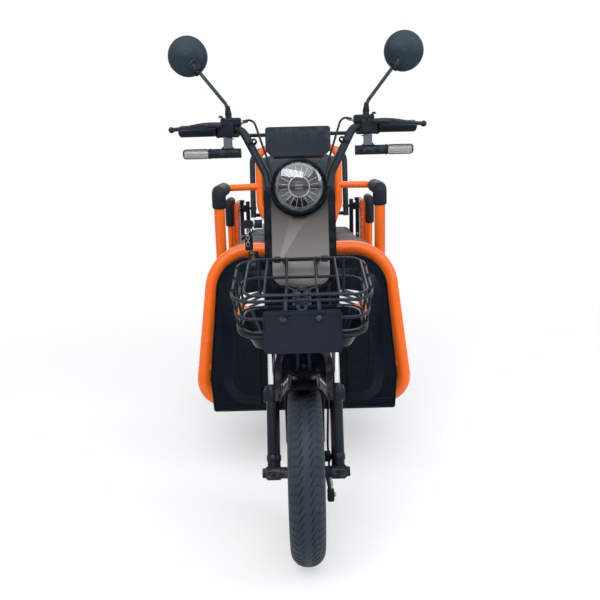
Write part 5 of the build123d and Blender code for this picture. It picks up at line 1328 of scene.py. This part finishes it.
# ---------------------------------------------------------------- mirrors
# Round mirrors in grained black plastic shells on bent steel stems. Each stem is screwed into the perch
# with a lock nut under a rubber boot, and ends in a wedge socket on the back of its mirror.
mirror_black = finish_material("mirror_black", (0.015, 0.0215, 0.031), (0.42, 0.48), 1300, 0.2, dust=0.08,
                               specular=0.19)
dress(mirror_black, "mirror_heads")
mirror_silver = finish_material("mirror_silver", (0.82, 0.84, 0.85), (0.01, 0.03), 300, 0.0, metal=1.0,
                                dust=0.02, spread=0.02)
dress(mirror_silver, "mirror_glass")
boots = bmesh.new()
nuts = bmesh.new()
sockets = bmesh.new()
wire_ends = []
for side in (-1, 1):
    place = facing_way(at(side * 0.186, 0.396, 1.0672), (side * 0.06, -0.09, 1))
    lathe(nuts, [(0, 0), (0.0095, 0), (0.0095, 0.0075), (0.0080, 0.0085), (0, 0.0085)], place, 6)
    lathe(boots,
          [(0.0090, 0.0080), (0.0092, 0.012), (0.0075, 0.020), (0.0064, 0.030), (0.0056, 0.032),
           (0.0050, 0.0325)], place, 28)
    neck = at(side * 0.2555, 0.3385, 1.1795)
    way = Vector((side * 0.60, -0.035, 0.80))
    lathe(boots, [(0.0052, -0.004), (0.0085, -0.002), (0.0105, 0.006), (0.0100, 0.012), (0, 0.012)],
          facing_way(neck, way), 24)
    panel(sockets,
          panel_place(at(side * 0.2606, 0.3200, 1.1987), (side * -0.30, -0.875, -0.378),
                      (side * 0.62, 0, 0.78)), 0.024, 0.028, 0.005, 0.003, 0.0012)
    wire_ends.append([neck, at(side * 0.2560, 0.3240, 1.1850), at(side * 0.2640, 0.3125, 1.2020)])
piece_from("mirror_sockets", sockets, lever_black, "steering")
wire_piece("mirror_stem_ends", wire_ends, 0.0034, stem_steel, "steering")
piece_from("mirror_boots", boots, grip_rubber, "steering")
piece_from("mirror_nuts", nuts, lever_black, "steering")


# ---------------------------------------------------------------- indicators
# Slim indicators: a moulded body with a swept foot that hangs from a grey bracket, and a clear cover in
# a dark rim with rows of reflector cells behind it.
clear_lens = lens_material("clear_lens", (0.42, 0.40, 0.37), (0.12, 0.2), 220, 0.35, 0.45)
hanger_grey = finish_material("hanger_grey", (0.10, 0.115, 0.13), (0.35, 0.45), 700, 0.15, metal=0.6,
                              dust=0.06, spread=0.05)
dress(clear_lens, "signal_lenses")
cell_bright = finish_material("cell_bright", (0.80, 0.78, 0.74), (0.10, 0.2), 300, 0.1, metal=1.0, dust=0.0,
                              spread=0.15, patch=160)
signal_up = 0.974
cells = bmesh.new()
for side in (-1, 1):
    for row in (-1, 0, 1):
        for step in range(7):
            spot = at(side * (0.2525 + 0.0088 * step), 0.3875, signal_up + 0.0062 * row)
            place = facing_way(spot, (0, -1, 0))
            lathe(cells, [(0.0034, 0.0030), (0.0026, 0.0012), (0.0012, 0.0002), (0, 0.0)], place, 10)
piece_from("signal_cells", cells, cell_bright, "steering")


def squared(value):
    """A sine or cosine drawn out, for a section between an ellipse and a box."""
    return math.copysign(abs(value) ** 0.6, value)


feet = bmesh.new()
for side in (-1, 1):
    rings = []
    for wide, rise in ((0.046, 0.0095), (0.034, 0.014), (0.020, 0.021), (0.0165, 0.026)):
        turns = [2 * math.pi * corner / 24 for corner in range(24)]
        rings.append([feet.verts.new(at(side * (0.192 + wide / 2 * squared(math.cos(turn))),
                                        0.3955 + 0.0095 * squared(math.sin(turn)), signal_up + rise))
                      for turn in turns])
    skin_rings(feet, rings)
    feet.faces.new(rings[0])
    feet.faces.new(rings[-1])
    lathe(feet, [(0.0132, 0.0), (0.0140, 0.001), (0.0140, 0.006), (0.0125, 0.0075), (0, 0.0075)],
          facing_way(at(side * 0.2380, 0.394, signal_up), (side, 0, 0)), 32)
piece_from("signal_feet", feet, body_black, "steering")
hangers = bmesh.new()
lens_rims = []
for side in (-1, 1):
    panel(hangers, panel_place(at(side * 0.190, 0.3850, 1.0080), (0, -1, 0)), 0.024, 0.042, 0.003, 0.003,
          0.0006)
    for face in (0.3815, 0.4055):
        lens_rims.append([at(side * x, face, signal_up + up)
                          for x, up in rounded_line([(0.2440, -0.0122, 0.007), (0.3120, -0.0122, 0.007),
                                                     (0.3120, 0.0122, 0.007), (0.2440, 0.0122, 0.007)])])
piece_from("signal_hangers", hangers, hanger_grey, "steering")
wire_piece("signal_rims", lens_rims, 0.0014, lever_black, "steering", closed=True)
bolt_set("signal_bolts", [(at(side * 0.192, 0.3948, 1.004), (0, -1, 0)) for side in (-1, 1)], 0.0032,
         lever_black, "steering", True)


# ---------------------------------------------------------------- headlight
# A round LED lamp: a thick black ring round domed glass, and behind it a pale ring with tick lights,
# thin bright spokes and a dark projector lens in a thin bright rim.
dress(gloss_black, "headlight_shell")
lamp_up = 0.894
lamp_mid = at(0, 0.146, lamp_up)
lamp_dark = finish_material("lamp_dark", (0.004, 0.005, 0.007), (0.2, 0.3), 500, 0.05, dust=0.0,
                            specular=0.25)
dress(lamp_dark, "headlight_core")


def clear_material(name, shine, rough):
    """Clear glass that shows what is behind it, with a reflection that grows at its edges."""
    made, tree, shader = new_material(name)
    tree.nodes.remove(shader)
    see = tree.nodes.new("ShaderNodeBsdfTransparent")
    mirror = add_node(tree, "ShaderNodeBsdfGlossy", {"Color": (shine, shine, shine, 1)})
    edge = add_node(tree, "ShaderNodeFresnel", {"IOR": 1.9})
    mixed = tree.nodes.new("ShaderNodeMixShader")
    join_nodes(tree,
               (add_range(tree, add_noise(tree, 30.0), 0.3, 0.7, *rough), mirror.inputs["Roughness"]),
               (edge.outputs["Fac"], mixed.inputs["Fac"]),
               (see.outputs["BSDF"], mixed.inputs[1]),
               (mirror.outputs["BSDF"], mixed.inputs[2]),
               (mixed.outputs["Shader"], tree.nodes["Material Output"].inputs["Surface"]))
    return made


lamp_glass = clear_material("lamp_glass", 1.0, (0.01, 0.04))
ring_pale = finish_material("ring_pale", (0.50, 0.54, 0.58), (0.2, 0.3), 500, 0.05, dust=0.0, specular=0.3)
spoke_bright = finish_material("spoke_bright", (0.75, 0.77, 0.80), (0.15, 0.25), 500, 0.05, metal=0.9,
                               dust=0.0)
towards = facing_way(lamp_mid, (0, -1, 0))
glass = bmesh.new()
dome = [(0.0605 * share, 0.0078 + 0.0200 * (1 - share ** 2))
        for share in [step / 12 for step in range(12, -1, -1)]]
lathe(glass, [(0.0600, 0.0060)] + dome, towards, 96)
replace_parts(piece_from("lamp_glass_dome", glass, lamp_glass, "steering", 60), "headlight_lens")
bezel = bmesh.new()
lathe(bezel,
      [(0.0612, 0.0030), (0.0612, 0.0112), (0.0622, 0.0124), (0.0648, 0.0130), (0.0672, 0.0120),
       (0.0682, 0.0100)], towards, 96)
piece_from("lamp_bezel", bezel, gloss_black, "steering")
outer_ring = bmesh.new()
lathe(outer_ring, [(0.0606, 0.0040), (0.0596, 0.0052), (0.0565, 0.0040), (0.0510, 0.0012), (0.0500, -0.0006)],
      towards, 96)
piece_from("lamp_outer_ring", outer_ring, ring_pale, "steering")
bright = bmesh.new()
lathe(bright, [(0.0610, 0.0056), (0.0604, 0.0062), (0.0598, 0.0056)], towards, 96)
lathe(bright,
      [(0.0268, 0.0030), (0.0262, 0.0040), (0.0240, 0.0040), (0.0228, 0.0028), (0.0215, -0.0002),
       (0.0205, -0.0040)], towards, 72)
for step in range(20):
    spoke = towards @ Matrix.Rotation(math.radians(18 * step + 9), 4, "Z")
    panel(bright, spoke @ Matrix.Translation((0.0385, 0, 0.0012)), 0.0215, 0.0016, 0.0014, 0.0007, 0.0003, 3)
for step in range(40):
    tick = towards @ Matrix.Rotation(math.radians(9 * step), 4, "Z")
    panel(bright, tick @ Matrix.Translation((0.0545, 0, 0.0036)), 0.0040, 0.0012, 0.0010, 0.0005, 0.0002, 3)
piece_from("lamp_spokes", bright, spoke_bright, "steering")
projector = bmesh.new()
lathe(projector,
      [(0.0203, -0.0040), (0.0185, -0.0010), (0.0150, 0.0022), (0.0095, 0.0044), (0.0045, 0.0052),
       (0, 0.0054)], towards, 64)
piece_from("lamp_projector", projector, lamp_dark, "steering")
inner_bits = bmesh.new()
for rise in (-0.0035, 0.0035):
    panel(inner_bits, towards @ Matrix.Translation((0, rise, 0.0050)), 0.019, 0.0024, 0.0016, 0.001, 0.0004,
          3)
piece_from("lamp_chips", inner_bits, ring_pale, "steering")
shell_fins = bmesh.new()
lathe(shell_fins,
      [(0.0660, -0.0125), (0.0672, -0.0140), (0.0660, -0.0155), (0.0650, -0.0185), (0.0662, -0.0200),
       (0.0648, -0.0215)], towards, 72)
piece_from("lamp_ribs", shell_fins, gloss_black, "steering")
bolt_set("lamp_screws", [(at(side * 0.0685, 0.1580, lamp_up), (side, 0, 0)) for side in (-1, 1)], 0.0035,
         frame_black, "steering", True)


# ---------------------------------------------------------------- instrument box
# A flat black box above the lamp. Its rider's side carries a dark display glass in a bezel, with speed
# bars and a charge gauge, and two rubber buttons.
dress(body_black, "display")
box_tilt = math.radians(12)
box_mid = at(0, 0.296, 0.998)
rider_way = Vector((0, math.cos(box_tilt), -math.sin(box_tilt)))
box_up = Vector((0, math.sin(box_tilt), math.cos(box_tilt)))


def on_box(x, rise, out):
    """A place by the instrument box: across, up its face and out towards the rider."""
    return box_mid + Vector((x, 0, 0)) + box_up * rise + rider_way * out


bezel = bmesh.new()
panel(bezel, panel_place(on_box(0, 0.002, 0.0168), rider_way, box_up), 0.146, 0.060, 0.0022, 0.008)
piece_from("display_bezel", bezel, body_black, "steering")
screen_glass = finish_material("screen_glass", (0.004, 0.005, 0.007), (0.05, 0.1), 500, 0.0, dust=0.03,
                               specular=0.25)
glass = bmesh.new()
panel(glass, panel_place(on_box(0, 0.006, 0.0188), rider_way, box_up), 0.128, 0.042, 0.0012, 0.004)
piece_from("display_glass", glass, screen_glass, "steering")
lit, lit_tree, lit_shader = new_material("gauge_lit")
lit_shader.inputs["Emission Strength"].default_value = 0.5
lit_shade = add_ramp(lit_tree, (0.35, 0.55, 0.62), (0.55, 0.72, 0.78))
join_nodes(lit_tree,
           (add_noise(lit_tree, 90.0), lit_shade.inputs["Fac"]),
           (lit_shade.outputs["Color"], lit_shader.inputs["Base Color"]),
           (lit_shade.outputs["Color"], lit_shader.inputs["Emission Color"]))
gauge = bmesh.new()
for digit_x in (0.012, -0.012):
    for x, rise, wide, tall in ((0, 0.009, 0.010, 0.002), (0, 0.0, 0.010, 0.002), (0, -0.009, 0.010, 0.002),
                                (0.0055, 0.0045, 0.002, 0.008), (-0.0055, 0.0045, 0.002, 0.008),
                                (0.0055, -0.0045, 0.002, 0.008), (-0.0055, -0.0045, 0.002, 0.008)):
        panel(gauge, panel_place(on_box(digit_x + x, 0.007 + rise, 0.0198), rider_way, box_up), wide, tall,
              0.0005, 0.0006, 0.0002, 2)
for step in range(6):
    panel(gauge, panel_place(on_box(-0.040 - 0.0032 * step, 0.004, 0.0198), rider_way, box_up), 0.0022,
          0.008 + 0.003 * step, 0.0005, 0.0005, 0.0002, 2)
    panel(gauge, panel_place(on_box(0.040 + 0.0035 * step, 0.004, 0.0198), rider_way, box_up), 0.0024, 0.018,
          0.0005, 0.0005, 0.0002, 2)
piece_from("gauge_segments", gauge, lit, "steering")
knobs = bmesh.new()
for x in (-0.03, 0.03):
    lathe(knobs, [(0.0075, 0), (0.0075, 0.003), (0.0060, 0.0042), (0, 0.0042)],
          facing_way(on_box(x, -0.0225, 0.0186), rider_way), 24)
piece_from("display_buttons", knobs, grip_rubber, "steering")


# ---------------------------------------------------------------- cowl
# The cowl round the steering head is glossy black plastic. A brushed dark panel is let into its front and cut
# out round the lamp, and a painted reflection makes it paler towards its foot. It is left bare.
dress(gloss_black, "nacelle")
cowl_lean = math.radians(14)
cowl_foot_up = 0.652


def on_cowl(x, rise, out):
    """A place on the cowl's front: across, up its slope from its foot and out in front of it."""
    return at(x, 0.108 + rise * math.sin(cowl_lean) - out * math.cos(cowl_lean),
              cowl_foot_up + rise * math.cos(cowl_lean) + out * math.sin(cowl_lean))


brushed = finish_material("brushed_panel_painted_reflection", (0.088, 0.080, 0.074), (0.42, 0.46), 300, 0.05, dust=0.02,
                          metal=0.4, spread=0.82)
brushed_tree = brushed.node_tree
painted_reflection_coords = brushed_tree.nodes.new("ShaderNodeTexCoord")
painted_reflection_height = brushed_tree.nodes.new("ShaderNodeSeparateXYZ")
brushed_tree.links.new(painted_reflection_coords.outputs["Object"], painted_reflection_height.inputs["Vector"])
# Painted reflection: the panel's colour is set by height over the wide spread given above, pale at its foot
# and dark near its top.
brushed_tree.links.new(add_range(brushed_tree, painted_reflection_height.outputs["Z"], 0.70, 0.86, 0.7, 0.3),
                       brushed_tree.nodes["tint"].inputs["Fac"])
streaks = add_noise(brushed_tree, 60.0, 4.0, 0.6, (30.0, 1.0, 1.0))
brushed_tree.links.new(streaks, brushed_tree.nodes["relief"].inputs["Height"])
front_panel = bmesh.new()
half_w, foot_corner, foot_rise = 0.070, 0.030, 0.005
lamp_rise = (lamp_up - cowl_foot_up) / math.cos(cowl_lean)
outline = []
for x, start in ((-half_w, 180), (half_w, 270)):
    for step in range(9):
        turn = math.radians(start + 90 * step / 8)
        outline.append((x - math.copysign(foot_corner, x) + foot_corner * math.cos(turn),
                        foot_rise + foot_corner + foot_corner * math.sin(turn)))
cut_r = 0.0745
meet = lamp_rise - math.sqrt(cut_r ** 2 - half_w ** 2)
first_turn = math.atan2(meet - lamp_rise, half_w)
for step in range(25):
    turn = first_turn + (-math.pi - 2 * first_turn) * step / 24
    outline.append((cut_r * math.cos(turn), lamp_rise + cut_r * math.sin(turn)))
levels = []
for inset, out in ((0.0, 0.0), (0.0, 0.0016), (0.0012, 0.0024)):
    ring = []
    centre_rise = 0.09
    for x, rise in outline:
        reach = Vector((x, rise - centre_rise))
        reach *= 1 - inset / reach.length
        ring.append(front_panel.verts.new(on_cowl(reach.x, centre_rise + reach.y, out)))
    levels.append(ring)
skin_rings(front_panel, levels)
front_panel.faces.new(levels[-1])
front_panel.faces.new(list(reversed(levels[0])))
piece_from("cowl_panel", front_panel, brushed, "steering")
bolt_set("cowl_screws",
         [(at(side * 0.088, back, up), (side, 0, 0)) for side in (-1, 1)
          for back, up in ((0.190, 0.72), (0.232, 0.86))], 0.0038, frame_black, "steering", True)


# ---------------------------------------------------------------- lock, key and fobs
# The lock barrel sits at the right of the cowl. Its key hangs a small chain with a dark fob, and below
# it the remote with two buttons and a lamp window.
dress(body_black, "key_set")
barrel_mid = at(-0.088, 0.218, 0.798)
lock = bmesh.new()
lathe(lock, [(0.0112, 0.0005), (0.0135, 0.001), (0.0140, 0.004), (0.0128, 0.008), (0.0118, 0.0085)],
      facing_way(barrel_mid, (-1, 0, 0)), 36)
lathe(lock, [(0.0114, 0.0270), (0.0120, 0.0280), (0.0120, 0.0300), (0.0095, 0.0310), (0, 0.0310)],
      facing_way(barrel_mid, (-1, 0, 0)), 36)
piece_from("lock_collar", lock, zinc_steel, "steering")
key_bow = bmesh.new()
panel(key_bow, panel_place(at(-0.1330, 0.2165, 0.798), (0, -1, 0)), 0.030, 0.022, 0.003, 0.010, 0.0008, 8)
piece_from("key_bow", key_bow, grip_rubber, "steering")
chain = bmesh.new()
link_mid = [at(-0.134 + 0.0015 * (step % 2), 0.2135, 0.781 - 0.0085 * step) for step in range(5)]
for step, middle in enumerate(link_mid):
    turn = 90 * (step % 2)
    place = Matrix.Translation(middle) @ Matrix.Rotation(math.radians(turn), 4, "Z")
    place = place @ Matrix.Rotation(math.pi / 2, 4, "X")
    rings = []
    for around in range(20):
        angle = 2 * math.pi * around / 20
        out = Vector((0.0040 * math.cos(angle), 0.0062 * math.sin(angle), 0))
        way = Vector((math.cos(angle), math.sin(angle), 0))
        rings.append([chain.verts.new(place
                                      @ (out + way * 0.0010 * math.cos(part * math.pi / 3)
                                         + Vector((0, 0, 0.0010 * math.sin(part * math.pi / 3)))))
                      for part in range(6)])
    skin_rings(chain, rings + rings[:1])
piece_from("key_chain", chain, chrome, "steering")
tag_green = finish_material("tag_green", (0.035, 0.16, 0.03), (0.35, 0.45), 900, 0.1, dust=0.05)
tag_red = finish_material("tag_red", (0.30, 0.02, 0.015), (0.35, 0.45), 900, 0.1, dust=0.05)
tags = bmesh.new()
panel(tags, panel_place(at(-0.1245, 0.2118, 0.7245), (0, -1, 0)), 0.012, 0.006, 0.0012, 0.0025, 0.0004, 4)
piece_from("green_tag", tags, tag_green, "steering")
tags = bmesh.new()
lathe(tags, [(0.0032, 0), (0.0032, 0.0010), (0.0024, 0.0016), (0, 0.0016)],
      facing_way(at(-0.122, 0.2118, 0.7155), (0, -1, 0)), 20)
piece_from("red_dot", tags, tag_red, "steering")
remote = bmesh.new()
for rise in (0.010, -0.002):
    lathe(remote, [(0.0062, 0), (0.0062, 0.0012), (0.0050, 0.0020), (0, 0.0020)],
          facing_way(at(-0.122, 0.2120, 0.706 + rise - 0.008), (0, -1, 0)), 24)
piece_from("remote_buttons", remote, switch_grey, "steering")


# ---------------------------------------------------------------- basket
# The basket is bent and spot-welded from round wire and dipped in black plastic. A moulded tub fills
# its lower half, and its rings and posts meet in small lumps of coating.
wire_black = finish_material("wire_black", (0.0065, 0.0085, 0.012), (0.30, 0.42), 700, 0.15, wear=0.4,
                             dust=0.12, worn=(0.12, 0.12, 0.12), specular=0.21)
dress(wire_black, "basket", "basket_lid")
dress(gloss_black, "basket_liner")
basket_lean = math.radians(10)


def in_basket(x, back, rise):
    """A place about the middle of the basket's rim, which tips forward."""
    return at(x, -0.050 + back * math.cos(basket_lean) - rise * math.sin(basket_lean),
              0.704 + back * math.sin(basket_lean) + rise * math.cos(basket_lean))


basket_up = in_basket(0, 0, 1) - in_basket(0, 0, 0)


def ring_line(half_w, half_d, corner, rise, middle=0.0, steps=8):
    """A level closed line with round corners in the basket, its middle forward or back."""
    line = []
    for x, back, start in ((half_w, half_d, 0), (-half_w, half_d, 90), (-half_w, -half_d, 180),
                           (half_w, -half_d, 270)):
        for step in range(steps + 1):
            turn = math.radians(start + 90 * step / steps)
            line.append(in_basket(x - math.copysign(corner, x) + corner * math.cos(turn),
                                  middle + back - math.copysign(corner, back) + corner * math.sin(turn),
                                  rise))
    return line


tub_middle = -0.045
tub_lip = wire_piece("tub_lip", [ring_line(0.1365, 0.0715, 0.040, -0.0768, tub_middle),
                                 ring_line(0.1270, 0.0620, 0.036, -0.0945, tub_middle)],
                     0.0026, gloss_black, "steering", closed=True)
tub_belly = bmesh.new()
rings = []
for drop, shrink, corner in ((-0.1270, 0.0, 0.032), (-0.1300, 0.004, 0.030), (-0.1320, 0.012, 0.026),
                             (-0.1330, 0.024, 0.020)):
    rings.append([tub_belly.verts.new(point)
                  for point in ring_line(0.109 - shrink, 0.044 - shrink, corner, drop, tub_middle)])
skin_rings(tub_belly, rings)
tub_belly.faces.new(rings[-1])
piece_from("tub_belly", tub_belly, gloss_black, "steering")
lump = [(0.0030, -0.0062), (0.0044, -0.0036), (0.0047, 0.0), (0.0044, 0.0036), (0.0030, 0.0062)]
lumps = bmesh.new()
for side in (-1, 1):
    for x in (-0.036, 0.036) if side < 0 else (-0.100, -0.036, 0.036, 0.100):
        for back, rise in ((0.1275, 0), (0.1220, -0.042), (0.1175, -0.084)):
            lathe(lumps, lump, facing_way(in_basket(x, side * back, rise), basket_up), 14)
    for back in (-0.070, 0.0, 0.070):
        for x, rise in ((0.1475, 0), (0.1420, -0.042), (0.1375, -0.084)):
            lathe(lumps, lump, facing_way(in_basket(side * x, back, rise), basket_up), 14)
piece_from("wire_lumps", lumps, wire_black, "steering", 60)


# ---------------------------------------------------------------- basket lid and latch
# The lid is a wire loop with four lengthwise wires on two hinge eyes. Two curved wires run from it to a
# clamp with two black knobs, and a plastic hook under the clamp catches the rim.
lid_rise = 0.010
latch = [[in_basket(side * 0.032, -0.068, lid_rise + 0.001),
          in_basket(side * 0.030, -0.088, lid_rise + 0.003),
          in_basket(side * 0.020, -0.100, lid_rise + 0.005),
          in_basket(side * 0.011, -0.112, lid_rise + 0.004),
          in_basket(side * 0.009, -0.123, lid_rise + 0.001)] for side in (-1, 1)]
latch += [[in_basket(side * 0.040, -0.074, lid_rise + 0.004),
           in_basket(side * 0.012, -0.092, lid_rise + 0.006), in_basket(0, -0.095, lid_rise + 0.006)]
          for side in (-1, 1)]
latch_wires = wire_piece("latch_wires", latch, 0.0024, wire_black, "lid")
latch_knobs = bmesh.new()
for side in (-1, 1):
    lathe(latch_knobs,
          [(0.0040, -0.006), (0.0068, -0.005), (0.0072, 0.0), (0.0068, 0.004), (0.0050, 0.006), (0, 0.0065)],
          facing_way(in_basket(side * 0.009, -0.1225, lid_rise), basket_up), 20)
panel(latch_knobs, panel_place(in_basket(0, -0.1295, 0.0), (0, -1, -0.15)), 0.024, 0.013, 0.005, 0.003,
      0.0012)
piece_from("latch_clamp", latch_knobs, wire_black, "lid")
hook_blue = finish_material("hook_blue", (0.030, 0.055, 0.105), (0.3, 0.42), 900, 0.1, dust=0.05,
                            specular=0.2)
hook_line = [in_basket(0.0085, -0.1335, -0.006), in_basket(0.0085, -0.1340, -0.013),
             in_basket(0.0050, -0.1345, -0.019), in_basket(-0.0050, -0.1345, -0.019),
             in_basket(-0.0085, -0.1340, -0.013), in_basket(-0.0085, -0.1335, -0.006)]
wire_piece("latch_hook", [hook_line], 0.0032, hook_blue, "lid")


# ---------------------------------------------------------------- number plate
# A blank dark plate of painted sheet with two short slots, held on its bracket by two hexagon bolts with
# washers. Nothing is printed on it.
plate_grey = finish_material("plate_grey", (0.0085, 0.010, 0.0155), (0.40, 0.42), 1000, 0.08, dust=0.05,
                             wear=0.05, worn=(0.04, 0.04, 0.04), specular=0.16, spread=0.03)
dress(plate_grey, "number_plate")
plate_lean = math.radians(8)
plate_front = Vector((0, -math.cos(plate_lean), -math.sin(plate_lean)))
plate_up = Vector((0, -math.sin(plate_lean), math.cos(plate_lean)))
plate_mid = at(0, -0.196, 0.622)
bolt_set("plate_bolts",
         [(plate_mid + Vector((side * 0.036 - 0.003, 0, 0)) + plate_up * 0.030 + plate_front * 0.0027,
           plate_front) for side in (-1, 1)], 0.0046, frame_black, "steering")
hem = bmesh.new()
rings = []
for inset, out in ((0.0, 0.0022), (0.0004, 0.0034), (0.0022, 0.0034), (0.0028, 0.0022)):
    ring = []
    for x, rise, start in ((1, 1, 0), (-1, 1, 90), (-1, -1, 180), (1, -1, 270)):
        for step in range(7):
            turn = math.radians(start + 15 * step)
            reach = 0.008 - inset
            ring.append(hem.verts.new(plate_mid + Vector((x * 0.072 + reach * math.cos(turn), 0, 0))
                                      + plate_up * (rise * 0.036 + reach * math.sin(turn))
                                      + plate_front * out))
    rings.append(ring)
skin_rings(hem, rings)
piece_from("plate_hem", hem, plate_grey, "steering")
